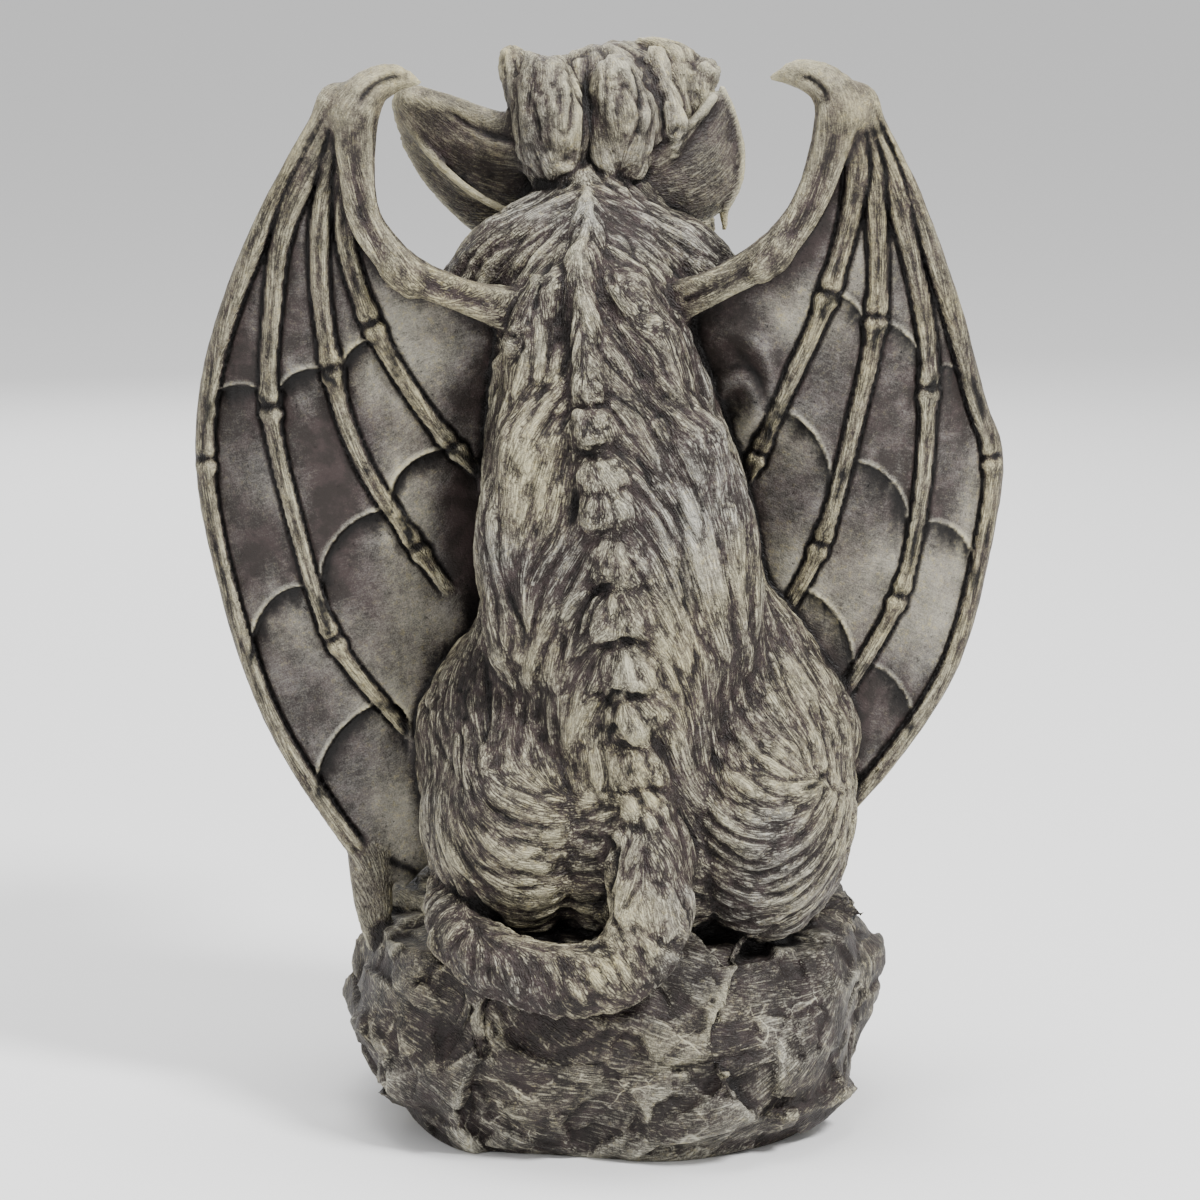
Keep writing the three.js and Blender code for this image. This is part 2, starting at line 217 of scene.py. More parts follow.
def hill(distance, width):
    return np.exp(-((distance / width) ** 2))


def step(value, low, high):
    t = np.clip((value - low) / (high - low), 0.0, 1.0)
    return t * t * (3 - 2 * t)


# Rock: rings of [height, reach left, right, back, front], squarish and lumpy
ROCK_X = -5.0
ROCK_RINGS = np.array([
    [0, 90, 88, 92, 88],
    [24, 117, 121, 108, 104],
    [50, 132, 133, 116, 116],
    [76, 126, 131, 110, 114],
    [96, 121, 117, 102, 105],
    [104, 111, 107, 90, 92],
    [106, 40, 40, 40, 40],
], dtype=float)
ROCK_SQUARE = 2.5
ROCK_CHIPS = 40
DEEPEST_CHIP = 7.0


def rock():
    cuts = window([-150, -130, -6], [140, 130, 118])
    x, y, z = coords(cuts)
    x = x - ROCK_X
    turn = np.arctan2(y, x)
    bend = turn + np.zeros_like(z)
    reach = [np.interp(z, ROCK_RINGS[:, 0], ROCK_RINGS[:, i]) for i in range(1, 5)]
    wide = np.where(x > 0, reach[0], reach[1])
    deep = np.where(y > 0, reach[2], reach[3])
    across, along = np.cos(bend), np.sin(bend)
    edge = (np.abs(across / wide) ** ROCK_SQUARE + np.abs(along / deep) ** ROCK_SQUARE) ** (-1 / ROCK_SQUARE)
    edge = edge * (1 + 0.025 * np.sin(3 * bend + 0.05 * z) + 0.02 * np.sin(7 * bend + 1.3 - 0.06 * z))
    out = np.sqrt(x * x + y * y)
    near = (out - edge) * 0.85 - 2.0
    top = 105.5 - 2.5 * step(out, 60, 105) + 0 * bend
    near = smooth_max(near, z - top, 5.0)
    whole = near
    # Chips: seeded planes that each cut a few millimetres off the rounded lump
    chips = np.random.default_rng(5)
    for _ in range(ROCK_CHIPS):
        angle = chips.uniform(0, 2 * np.pi)
        rise = chips.uniform(-0.75, 0.95)
        cut = np.array([np.cos(angle) * np.cos(rise), np.sin(angle) * np.cos(rise), np.sin(rise)])
        height = chips.uniform(18, 92)
        lift = chips.uniform(-0.5, 4.0)
        far = np.interp(height, ROCK_RINGS[:, 0], ROCK_RINGS[:, 1:].mean(1)) * 0.99
        spot = np.array([np.cos(angle) * far, np.sin(angle) * far * 0.88, height])
        plane = (x - spot[0]) * cut[0] + (y - spot[1]) * cut[1] + (z - spot[2]) * cut[2] + lift
        local = step(np.sqrt((x - spot[0]) ** 2 + (y - spot[1]) ** 2 + (z - spot[2]) ** 2), 62, 34)
        near = np.maximum(near, plane * local - 12 * (1 - local))
    near = np.maximum(np.minimum(near, whole + DEEPEST_CHIP), -z)
    join(cuts, near, 1.0, ROCK)
    egg([82, -20, 103], [24, 34, 14], 6.0, ROCK)


# Body
def trunk():
    limb([
        [-18, 44, 150, 60], [-14, 40, 205, 61], [-11, 36, 262, 65], [-5, 35, 310, 59],
        [0, 30, 350, 51], [3, 21, 382, 46.5], [4, 0, 413, 37], [2, -20, 440, 28],
    ], 1.0)
    limb([
        [0, -6, 365, 36], [-3, -10, 325, 45], [-8, -8, 280, 43], [-11, -6, 235, 47], [-12, 4, 190, 40],
    ], 9.0)
    limb([[6, 6, 410, 29], [36, 8, 405, 28], [56, 6, 386, 24]], 8.0)
    limb([[0, 6, 410, 29], [-30, 8, 404, 27], [-50, 6, 386, 24]], 8.0)
    # Shoulder blades and the muscles that carry the wings
    limb([[22, 58, 398, 11], [30, 62, 376, 13], [30, 68, 350, 11]], 8.0)
    limb([[-14, 62, 398, 10], [-26, 66, 372, 13], [-32, 70, 350, 12], [-36, 74, 328, 9]], 8.0)
    limb([[34, 76, 330, 14], [40, 74, 285, 17], [36, 74, 240, 15]], 14.0)
    limb([[-44, 76, 330, 14], [-54, 72, 285, 18], [-56, 70, 240, 15]], 14.0)
    # Chest, ribs and belly
    for side in (1, -1):
        egg([side * 20 - 1, -34, 362], [25, 14, 21], 8.0)
        for rib in range(4):
            z = 336 - 13 * rib
            start = [side * 46 - 3, -14, z + 7, 3.5]
            limb([start, [side * 32 - 4, -40, z, 3.5], [side * 12 - 5, -51, z - 8, 3]], 4.0)
    egg([-10, -40, 262], [30, 14, 40], 10.0)


# The spine: [x, y, z, half-width] down the narrow ridge, then the knobs
RIDGE = [
    [5, 26, 440, 3], [6, 41, 429, 6], [7, 56, 413, 6.5], [7.5, 68, 394, 7], [7, 77, 373, 7], [5, 83, 357, 8],
]
KNOBS = [
    [4, 88, 338, 9], [-1, 93, 318, 9], [-3, 95, 302, 11], [-8.5, 98, 278, 13], [-9, 99, 254, 13.5],
    [-12, 99, 228, 13], [-15, 99, 207, 11.5], [-18, 100, 184, 11], [-21, 104, 166, 11],
]
LAST_KNOB_WITH_LOCKS = 6


def spine():
    limb(RIDGE, 5.0)
    for x, y, z, half in RIDGE[1:]:
        egg([x, y + 1.5, z], [half * 0.75, 5, half * 1.2], 2.0)
    for place, (x, y, z, half) in enumerate(KNOBS):
        egg([x, y - 0.5, z + 2], [half * 1.15, 9.0, half], 4.0)
        egg([x + 1.5, y + 3, z - 1], [half * 0.75, 6, half * 0.55], 3.0)
        if place > LAST_KNOB_WITH_LOCKS:
            continue
        # Locks that hang from each knob like an upturned V
        for side in (1, -1):
            start = [x + side * half * 0.5, y - 1.0, z + half * 0.45, 4.0]
            bend = [x + side * half * 1.35, y - 3.5, z - half * 0.7, 3.8]
            tip = [x + side * half * 2.0, y - 8.0, z - half * 2.3, 2.2]
            limb([start, bend, tip], 3.0)
            start = [x + side * half * 0.3, y - 1, z - half * 0.4, 2.4]
            bend = [x + side * half * 0.75, y - 3, z - half * 1.15, 2.4]
            tip = [x + side * half * 1.1, y - 5.5, z - half * 2.0, 1.4]
            limb([start, bend, tip], 2.0)


def leg(x, out, foot):
    knee = x + out * 36
    egg([x, 47, 156], [45, 58, 61], 4.0)
    limb([[x - out * 14, 36, 228, 36], [x + out * 2, 34, 190, 46]], 8.0)
    limb([[x, 28, 166, 44], [x + out * 22, -18, 184, 38], [knee, -58, 198, 27]], 8.0)
    egg([knee, -66, 204], [21, 17, 19], 6.0)
    limb([[knee, -58, 196, 25], [foot + out * 7, -44, 152, 22], [foot, -46, 118, 16]], 6.0)
    limb([[foot, -42, 112, 16], [foot, -74, 107, 13]], 5.0, thin=0.8, face=(0, 0, 1))
    for spread in (-1, 0, 1):
        toe = foot + spread * 14
        root = [foot + spread * 8, -72, 110, 9]
        limb([root, [toe - spread * 2, -84, 111, 9.5], [toe, -96, 106, 8]], 2.0)
        egg([toe - spread * 1.5, -86, 114], [7.5, 6, 6], 2.0)
        limb([[toe, -94, 107, 7], [toe + spread, -103, 101, 5.5], [toe + spread, -108, 87, 1.5]], 1.0, HORN)


def arm(shoulder, elbow, hand):
    limb([[*shoulder, 25], [*elbow, 18]], 7.0)
    egg([(shoulder[0] + elbow[0]) / 2, -14, 338], [19, 17, 30], 7.0)
    middle = [(elbow[0] + hand) / 2 + 2, -74, 205, 15.5]
    limb([[*elbow, 19], [*middle[:3], 16], [hand, -86, 150, 12], [hand, -92, 124, 11.5]], 5.0)
    between_them = (elbow[0] + middle[0]) / 2
    limb([[elbow[0], -52, 262, 15], [between_them, -66, 236, 15], [middle[0], -80, 205, 11]], 6.0)
    egg([hand, -96, 117], [17, 16, 9], 4.0)
    for spread in (-1, 0, 1):
        root = [hand + spread * 8, -94, 118, 7]
        joint = [hand + spread * 11, -105, 117, 7.5]
        end = [hand + spread * 13, -112, 108, 5.5]
        limb([root, joint, end], 2.0)
        egg([hand + spread * 11, -106, 119.5], [5.5, 5, 4.5], 1.5)
        claw = hand + spread * 14
        limb([[*end[:3], 5.2], [claw, -116.5, 99, 3.8], [claw, -118, 86, 1.2]], 1.0, HORN)


TAIL = [
    [-19, 86, 168, 21], [-22, 101, 140, 20], [-22, 112, 115, 18], [-9, 118, 98, 17], [18, 116, 92, 16.5],
    [48, 105, 98, 15.5], [66, 83, 110, 13.5], [69, 54, 119, 11], [68, 26, 120, 7], [64, 6, 117, 3],
]


# Head, in its own frame: origin at the skull's middle, muzzle towards -Y
HEAD_AT = np.array([-4.0, -26.0, 464.0])
HEAD_TURN = radians(-33)
TURN = np.array([[cos(HEAD_TURN), sin(HEAD_TURN), 0], [-sin(HEAD_TURN), cos(HEAD_TURN), 0], [0, 0, 1]])


def head_limb(stations, blend=2.0, zone=FUR, thin=1.0, face=None, remove=False):
    placed = [[*(np.array(s[:3]) @ TURN + HEAD_AT), s[3]] for s in stations]
    turned = None if face is None else np.array(face) @ TURN
    limb(placed, blend, zone, thin, turned, remove=remove)


def head_egg(centre, sizes, blend=4.0, zone=FUR, remove=False):
    egg(np.array(centre) @ TURN + HEAD_AT, sizes, blend, zone, TURN, remove)


def head():
    head_egg([0, -4, 5], [33, 36, 36], 4.0)
    head_egg([0, -38, 24], [30, 20, 19], 6.0)
    head_limb([[0, -36, -2, 27], [0, -66, -10, 20], [0, -86, -13, 14]], 5.0)
    head_limb([[0, -18, -38, 23], [0, -50, -49, 17], [0, -76, -50, 11]], 4.0, thin=0.75, face=(0, 0, 1))
    for side in (1, -1):
        head_egg([side * 29, -14, -24], [13, 22, 22], 6.0)
        head_limb([[side * 4, -55, 17, 7], [side * 18, -54, 26, 8], [side * 31, -38, 26, 7]], 3.0)
        head_limb([[side * 12, -58, -17, 11], [side * 12, -74, -20, 10], [side * 9, -86, -18, 8]], 4.0)
        head_egg([side * 17, -55, 9], [10, 7, 7], 2.0, remove=True)
        head_egg([side * 17, -47, 9], [7.5, 7.5, 7], 0.6, SKIN)
        for rise in (7, -6):
            head_limb([[side * 8, -53, 9, 2], [side * 17, -56, 9 + rise, 2.6], [side * 26, -48, 9, 2]], 1.0)
        head_egg([side * 8, -91, -9], [6.5, 7, 6], 2.0)
        head_egg([side * 6, -98, -9], [2.8, 5, 2.4], 1.0, remove=True)
        fang = [[side * 12, -76, -16, 5.5], [side * 13.5, -81, -34, 3.6], [side * 14, -82, -50, 1.2]]
        tusk = [[side * 12, -56, -47, 5.5], [side * 16, -58, -34, 3.4], [side * 19, -60, -22, 1.2]]
        head_limb(fang, 0.6, HORN)
        head_limb(tusk, 0.6, HORN)
        for tooth in range(4):
            y = -48 - 8 * tooth
            x = side * (15.5 - tooth)
            head_limb([[x, y, -22, 3], [x, y - 0.5, -33, 0.8]], 0.5, HORN)
        for fold in range(3):
            y = -58 - 9 * fold
            start = [side * 2, y, 11 - 4 * fold, 2]
            head_limb([start, [side * 12, y + 1, 4 - 5 * fold, 2.2], [side * 18, y + 6, -8, 1.6]], 1.5)
        # Beard locks below the jaw
        for lock in range(3):
            y = -20 - 16 * lock
            start = [side * 18, y, -44, 6]
            head_limb([start, [side * 17, y - 4, -58, 4.5], [side * 14, y - 2, -70, 1.5]], 3.0)
    head_limb([[0, -70, -54, 6], [0, -76, -64, 4.5], [0, -73, -74, 1.5]], 2.5)
    head_limb([[0, -30, -34, 10], [0, -58, -38, 9], [0, -72, -37, 6]], 1.0, SKIN, thin=0.4, face=(0, 0, 1))


def horns_and_ears():
    # Left lobe of the skull, running up into a wide blunt horn, then the right one
    limb([[24, -1, 490, 12], [21, 4, 474, 16.5], [20, 3, 458, 15.5], [19, 0, 450, 14]], 3.0)
    limb([[24, -2, 462, 13], [28, -4, 474, 13], [34, -9, 488, 12], [41, -15, 500.5, 6.5]], 8.0)
    limb([[30, -14, 488, 11], [12, -24, 489, 13], [-6, -30, 491, 13]], 8.0)
    limb([[-7, -1, 490, 12], [-9, 3, 474, 15.5], [-9, 3, 458, 14.5], [-8, 0, 450, 13]], 1.5)
    # Right horn: short, with a fold hanging from it
    limb([[-22, -8, 468, 12], [-24, -12, 486, 9], [-26, -16, 501, 4.8]], 5.0)
    limb([[-27, -11, 500, 2.6], [-31, -5, 486, 3.8], [-35, -1, 470, 4.4], [-34, -2, 459, 2.6]], 2.0)
    limb([[-40, -30, 468, 8], [-45, -34, 480, 8], [-49, -38, 489, 5]], 4.0)
    limb([[-34, -28, 476, 9], [-40, -36, 488, 7]], 4.0)
    # Left ear: a long flap with a thin rim, soft folds at its root and a smooth lobe behind
    ear_face = np.array([0.1, 1, -0.25]) / np.linalg.norm([0.1, 1, -0.25])
    limb([[32, -12, 447, 20], [52, -12, 451, 23], [66, -12, 459, 20], [81, -10, 470, 15], [89, -8, 478, 9]],
         3.0, SKIN, 0.2, ear_face, 5.0)
    lobe = [[46, -24, 426, 17], [60, -22, 437, 16], [74, -20, 449, 13], [86, -16, 461, 8]]
    limb(lobe, 1.0, SKIN, 0.2, ear_face, 4.0)
    limb([[44, -7, 430, 1.8], [56, -8, 436, 1.9], [68, -9, 445, 1.9], [80, -10, 457, 2], [89, -10, 470, 2]],
         2.5, SKIN)
    limb([[34, -8, 467, 6], [52, -10, 471, 5], [72, -10, 478, 4.4], [88, -9, 483, 3.6]], 5.0, SKIN)
    limb([[36, -6, 456, 7], [50, -8, 459, 5], [64, -11, 465, 3]], 6.0, SKIN)
    egg([56, 0, 445], [15, 6, 8], 4.0, remove=True, turn=np.array([[0.8, 0, 0.6], [0, 1, 0], [-0.6, 0, 0.8]]))
    # Right ear: a broad smooth flap with a soft fold along its upper edge
    ear_face = np.array([-0.4, 0.9, 0.05]) / np.linalg.norm([-0.4, 0.9, 0.05])
    flap = [
        [-26, -4, 446, 15], [-40, -8, 444, 21.5], [-49, -12, 449, 21],
        [-54, -16, 463, 14.5], [-56, -19, 477, 8],
    ]
    limb(flap, 3.0, SKIN, 0.22, ear_face, 3.0)
    limb([[-26, -2, 453, 3.4], [-34, -3, 461, 3.2], [-44, -8, 471, 2.8], [-53, -14, 482, 2]], 5.0, SKIN)
    limb([
        [-57, -21, 486, 1.4], [-62, -21, 475, 1.5], [-66, -20, 460, 1.6],
        [-66, -19, 444, 1.6], [-59, -16, 429, 1.5],
    ], 2.0, SKIN)


# Wings. Every point is [out, z]: its distance out from the middle plane, and its height.
WINGS = {
    "left": {
        "side": 1,
        "fingers": [
            [[125, 487], [160, 425], [183, 363], [189, 317], [180, 260], [158, 194], [116, 128]],
            [[114, 482], [143, 429], [150, 388], [152, 344], [140, 286], [124, 235], [89, 188]],
            [[112, 481], [127, 428], [123, 363], [110, 320], [85, 278], [68, 252]],
            [[110, 479], [116, 428], [104, 384], [83, 346], [68, 325], [56, 311]],
        ],
        "knuckles": [[317], [344, 235], [363, 278], [384, 325]],
        "arm": [[37, 388], [62, 397], [89, 408], [106, 431], [110, 456], [111, 480]],
        "hook": [[112, 479], [104, 490], [93, 495], [82, 493]],
        "inner": [
            [112, 483], [104, 430], [84, 402], [48, 386], [42, 350],
            [48, 311], [50, 252], [62, 188], [68, 140], [92, 112],
        ],
        "arches": [
            [0, 336, 341, 353], [0, 222, 239, 258], [0, 160, 188, 200],
            [1, 345, 351, 362], [1, 262, 280, 294], [2, 358, 362, 376], [2, 302, 311, 323],
        ],
        "tip": [[109, 128], [107, 104], [106, 86]],
        "folds": [],
    },
    "right": {
        "side": -1,
        "fingers": [
            [
                [123, 487], [146, 442], [165, 392], [180, 342], [188, 319],
                [183, 271], [167, 216], [138, 173], [113, 143],
            ],
            [[114, 485], [132, 447], [150, 376], [151, 353], [149, 306], [139, 255], [109, 201]],
            [[110, 485], [122, 456], [126, 387], [117, 338], [102, 280], [83, 241]],
            [[108, 484], [116, 456], [104, 398], [85, 352], [73, 322], [66, 304]],
        ],
        "knuckles": [[318], [353, 255], [387, 280], [398, 322]],
        "arm": [[26, 388], [52, 401], [77, 415], [92, 434], [102, 458], [108, 481]],
        "hook": [[110, 481], [102, 492], [90, 497], [78, 495]],
        "inner": [
            [108, 487], [94, 446], [72, 412], [40, 386], [42, 350],
            [58, 304], [74, 241], [88, 190], [98, 150], [112, 136],
        ],
        "arches": [
            [0, 340, 352, 361], [0, 258, 271, 288], [0, 190, 207, 221],
            [1, 360, 373, 381], [1, 288, 304, 317], [1, 222, 243, 255],
            [2, 378, 386, 396], [2, 308, 330, 339],
        ],
        "tip": [[106, 150], [100, 122], [98, 96]],
        # Rolls of loose skin near the shoulder: [out, z, height]
        "folds": [
            [[50, 338, 1], [56, 352, 4], [66, 356, 5], [71, 346, 4], [66, 332, 2]],
            [[46, 372, 1], [60, 379, 3], [72, 373, 4], [78, 358, 3], [78, 340, 1]],
            [[62, 322, 1], [66, 334, 3], [76, 340, 3], [80, 328, 1]],
        ],
    },
}
BONE_HALF = 4.6
HALF_WEB = 3.5
RIM_DROP = 3.2
ARM_RIDGES = (-0.62, 0.62)
SHEET = {}


def wing_depth(out, z):
    curl = 28 * ((out - 115) / 70) ** 2
    root = 20 * np.exp(-((out - 40) ** 2 + (z - 384) ** 2) / (2 * 34**2))
    return 38 + 14 * (z - 300) / 180 - curl + root


def trace(line, reach, grid):
    """Distance to a flat polyline, place along it, and which side, near the line."""
    us, vs = grid
    near = np.full((len(us), len(vs)), reach)
    along, side = np.zeros_like(near), np.ones_like(near)
    run = 0.0
    for a, b in zip(line, line[1:]):
        cut = tuple(
            slice(*np.searchsorted(values, [min(a[i], b[i]) - reach, max(a[i], b[i]) + reach]))
            for i, values in enumerate(grid)
        )
        u, v = us[cut[0]][:, None] - a[0], vs[cut[1]][None, :] - a[1]
        du, dv = b[0] - a[0], b[1] - a[1]
        length = max(np.hypot(du, dv), 1e-6)
        t = np.clip((u * du + v * dv) / length**2, 0, 1)
        gap = np.hypot(u - t * du, v - t * dv)
        closer = gap < near[cut]
        near[cut] = np.where(closer, gap, near[cut])
        along[cut] = np.where(closer, run + t * length, along[cut])
        side[cut] = np.where(closer, np.sign(du * v - dv * u), side[cut])
        run += length
    return near, along, side


def enclosed(line, grid):
    """Whether each grid point lies inside a closed flat polyline."""
    us, vs = grid
    inside = np.zeros((len(us), len(vs)), dtype=bool)
    for a, b in zip(line, np.roll(line, -1, axis=0)):
        if a[1] == b[1]:
            continue
        rows = (vs > min(a[1], b[1])) & (vs <= max(a[1], b[1]))
        cross = a[0] + (vs - a[1]) * (b[0] - a[0]) / (b[1] - a[1])
        inside ^= rows[None, :] & (us[:, None] < cross[None, :])
    return inside


def out_at(finger, z):
    rising = sorted(finger, key=lambda point: point[1])
    return np.interp(z, [point[1] for point in rising], [point[0] for point in rising])


def bow(fingers, outer, low, high, crown):
    """The rim of a fold of skin: from one finger up and over to the next finger in."""
    a = np.array([out_at(fingers[outer], low) - 3, low])
    d = np.array([out_at(fingers[outer + 1], high), high])
    lift = np.array([0, (crown - (low + high) / 2) * 4 / 3])
    t = np.linspace(0, 1, 25)[:, None]
    return (1 - t) ** 3 * a + 3 * (1 - t) ** 2 * t * (a + lift) + 3 * (1 - t) * t**2 * (d + lift) + t**3 * d


def knob_places(line, heights):
    """How far along a line each height comes."""
    runs = np.concatenate([[0], np.cumsum(np.hypot(*np.diff(line, axis=0).T))])
    return [float(np.interp(-z, -line[:, 1], runs)) for z in heights]


def wing(name):
    plan = WINGS[name]
    side, fingers, inner = plan["side"], plan["fingers"], plan["inner"]
    xs = np.flatnonzero((side * axes[0] > 26) & (side * axes[0] < 196))
    cuts = (slice(xs[0], xs[-1] + 1), *window([0, -22, 84], [0, 96, 506])[1:])
    us = np.sort(side * axes[0][cuts[0]])
    vs = axes[2][cuts[2]]
    grid = (us, vs)
    outer_edge = smooth_line([*fingers[0], inner[-1]], 4.0, 2)
    inner_edge = smooth_line(inner, 4.0, 2)
    border = np.concatenate([outer_edge, inner_edge[::-1]])
    edge, _, _ = trace(np.concatenate([border, border[:1]]), 30.0, grid)
    rim_gap = np.where(enclosed(border, grid), -edge, edge)

    # Skin: each fold drops behind its own rim and swells again below it
    skin = np.zeros_like(edge)
    rim = np.zeros_like(edge)
    shade = np.zeros_like(edge)
    across = np.tile(us[:, None], (1, len(vs)))
    heights = np.tile(vs[None, :], (len(us), 1))
    for arch in plan["arches"]:
        low, high = arch[1], arch[2]
        line = bow(fingers, *arch)
        gap, _, _ = trace(line, 34.0, grid)
        chord = np.concatenate([line, [[line[-1][0], high - 34], [line[0][0], low - 34]]])
        within = enclosed(chord, grid)
        drop = within * step(gap, -0.4, 0.8) * np.exp(-gap / 13.0) * step(gap, 34, 22)
        skin -= RIM_DROP * drop
        swell = within * hill(gap - 17, 9.0)
        skin += 0.9 * swell
        crest = hill(gap + 0.9 * (~within) - 0.9, 1.25) * (~within | (gap < 0.7))
        rim = np.maximum(rim, crest)
        skin += 1.5 * crest
        under_rim = hill(gap - 1.5, 1.2) + 0.42 * np.exp(-gap / 8.0) * step(gap, 34, 22)
        shade = np.maximum(shade, within * under_rim)
    for fold in plan["folds"]:
        line = smooth_line(fold, 3.0, 2)
        gap, along, _ = trace(line[:, :2], 11.0, grid)
        height = np.interp(along, np.linspace(0, along.max(), len(line)), line[:, 2])
        roll = hill(gap, 5.0) * height
        skin = np.maximum(skin, skin * 0.3 + roll)
        shade = np.maximum(shade, 0.8 * hill(gap - 7, 1.6) * np.clip(height / 3, 0, 1))
    # Slack between the bones
    slack = noise(across / 26 + 3, heights / 34 + side * 9, 0 * heights)
    skin += 1.4 * (slack - 0.5)

    # Bones, with a groove down the back, double-ended knuckles and a cut on each side
    bone = np.zeros_like(edge)
    lift = skin.copy()
    bone_u, bone_v = np.zeros_like(edge), np.full_like(edge, -1.0)
    nearest = np.full_like(edge, 1e3)
    for index, finger in enumerate(fingers):
        points = finger if index else [[out - 4.2, z] for out, z in finger]
        line = smooth_line(points, 3.0, 2)
        gap, along, _ = trace(line, 16.0, grid)
        runs = np.concatenate([[0], np.cumsum(np.hypot(*np.diff(line, axis=0).T))])
        tip = runs[-1]
        half = BONE_HALF * (1.0 - 0.32 * along / tip + 0.45 * np.exp(-along / 42.0))
        tall = half * 1.0
        notch = np.zeros_like(edge)
        for place in knob_places(line, plan["knuckles"][index]):
            off = along - place
            half = half + 1.5 * hill(off - 4.2, 3.4) + 1.1 * hill(off + 4.8, 4.2)
            tall = tall + 1.5 * hill(off - 4.2, 3.2) + 1.1 * hill(off + 4.8, 3.8)
            notch = np.maximum(notch, hill(off, 1.5))
        if index == 0:
            half, tall = half + 1.2, tall + 0.8
        part = gap / half
        round_top = tall * np.sqrt(np.clip(1 - part**2, 0, 1)) * step(along, tip + 1, tip - 10)
        worn = noise(along / 11, gap * 0 + index * 7.3, gap * 0)
        groove = hill(gap - 0.3, 1.15) * (0.35 + 0.9 * worn)
        profile = round_top - 1.3 * groove * (part < 0.8) - 2.0 * notch * (part < 1.2)
        cut = hill(gap - half - 0.6, 0.85) * step(along, tip, tip - 14)
        lift = lift - 2.1 * cut * (part > 0.9)
        beside = np.maximum(0.62 * cut, 0.36 * hill(gap - half, 4.0) * (part > 1))
        beside = beside * step(along, tip, tip - 14)
        shade = np.maximum(shade, np.maximum(beside, 0.75 * notch * (part < 1.1)))
        shade = np.maximum(shade, 0.62 * groove * (part < 0.8))
        lift = np.where(part < 1, np.maximum(lift, profile), lift)
        bone = np.maximum(bone, step(1.15 - part, 0, 0.3) * (along < tip - 2))
        slope = np.gradient(line, axis=0)
        slope /= np.maximum(np.hypot(*slope.T)[:, None], 1e-6)
        closer = gap < nearest
        nearest = np.minimum(nearest, gap)
        bone_u = np.where(closer & (gap < 15.9), np.interp(along, runs, slope[:, 0]), bone_u)
        bone_v = np.where(closer & (gap < 15.9), np.interp(along, runs, slope[:, 1]), bone_v)
        rim = rim * (part > 1.1)
    # Stitched groove inside the lower outer edge
    low_edge = [point for point in outer_edge if point[1] < 240]
    gap, along, _ = trace(low_edge, 16.0, grid)
    beads = np.clip(0.5 + 0.5 * np.sin(along * 1.7), 0, 1)
    stitch = hill(gap - 9.5, 1.3) * step(along, 0, 30) * (0.45 + 0.55 * beads)
    lift -= 1.4 * stitch
    shade = np.maximum(shade, stitch)

    middle = wing_depth(across, heights)
    front = middle + HALF_WEB + lift
    under = middle - HALF_WEB - 0.55 * np.maximum(bone * 3.2, 0) + 0.35 * skin
    steep = np.sqrt(1 + np.gradient(middle, us, axis=0) ** 2 + np.gradient(middle, vs, axis=1) ** 2)
    SHEET[name] = dict(grid=grid, bone=bone, rim=rim, shade=shade, bone_u=bone_u, bone_v=bone_v, front=front)
    if side < 0:
        front, under, rim_gap, steep = (table[::-1] for table in (front, under, rim_gap, steep))
    _, y, _ = coords(cuts)
    slab = np.maximum(y - front[:, None, :], under[:, None, :] - y) / steep[:, None, :]
    join(cuts, smooth_max(slab, rim_gap[:, None, :] + 0 * y, 3.5), 1.2, WEB)


def wing_bones(name):
    """The arm of the wing, its elbow, the hooked thumb and the strut at the foot."""
    plan = WINGS[name]
    side = plan["side"]

    def placed(points, proud, radii):
        return [
            [side * out, wing_depth(out, z) + (proud[i] if len(proud) > 1 else proud[0]), z, radii[i]]
            for i, (out, z) in enumerate(points)
        ]

    arm_line = placed(plan["arm"], [13, 12, 11, 8, 6, 5], [11.5, 7.5, 8.5, 7.5, 8.5, 11])
    for run in (arm_line[:3], arm_line[2:]):
        limb(run, 3.0, BONE)
        # Two parallel ridges with a groove between them
        line = smooth_line(run, 6.0)
        lie = np.gradient(line[:, :3], axis=0)
        across = unit(np.stack([-lie[:, 2], 0 * lie[:, 0], lie[:, 0]], axis=1))
        for shift in ARM_RIDGES:
            ridge = line.copy()
            ridge[:, :3] += shift * line[:, 3:4] * across
            ridge[:, 1] += 0.78 * line[:, 3] - 1.2
            ridge[:, 3] = 2.7
            limb(ridge, 1.6, BONE)
        groove = line.copy()
        groove[:, 1] += line[:, 3] + 0.4
        groove[:, 3] = 1.5
        limb(groove[3:-2], 1.5, remove=True)
    elbow = arm_line[2]
    for shift in (-5.5, 5.5):
        knob = [elbow[0] + side * shift * 0.75, elbow[1] + 2.5, elbow[2] + shift * 0.65]
        egg(knob, [7.5, 8, 8.5], 1.5, BONE)
    cut_low = [elbow[0] + side * 6, elbow[1] + 11, elbow[2] - 7, 1.3]
    cut_high = [elbow[0] - side * 6, elbow[1] + 11, elbow[2] + 7, 1.3]
    limb([cut_low, [elbow[0], elbow[1] + 12, elbow[2], 1.6], cut_high], 1.2, remove=True)
    hook = placed(plan["hook"], [4], [12, 9, 6.5, 1.5])
    limb(hook, 2.0, HORN)
    top = plan["fingers"][0][0]
    egg([side * (top[0] - 6), wing_depth(*top) + 3, top[1] - 5], [9, 8, 11], 4.0, BONE)
    limb(placed(plan["tip"], [0], [10, 9, 5]), 2.5, SKIN, 0.5, (0, 1, 0))


rock()
trunk()
spine()
leg(38, 1, 62)
leg(-73, -1, -92)
arm([50, 0, 376], [60, -42, 284], 20)
arm([-44, 0, 380], [-66, -42, 284], -44)
limb(TAIL, 2.5)
head()
horns_and_ears()
for wing_name in WINGS:
    wing(wing_name)
    wing_bones(wing_name)


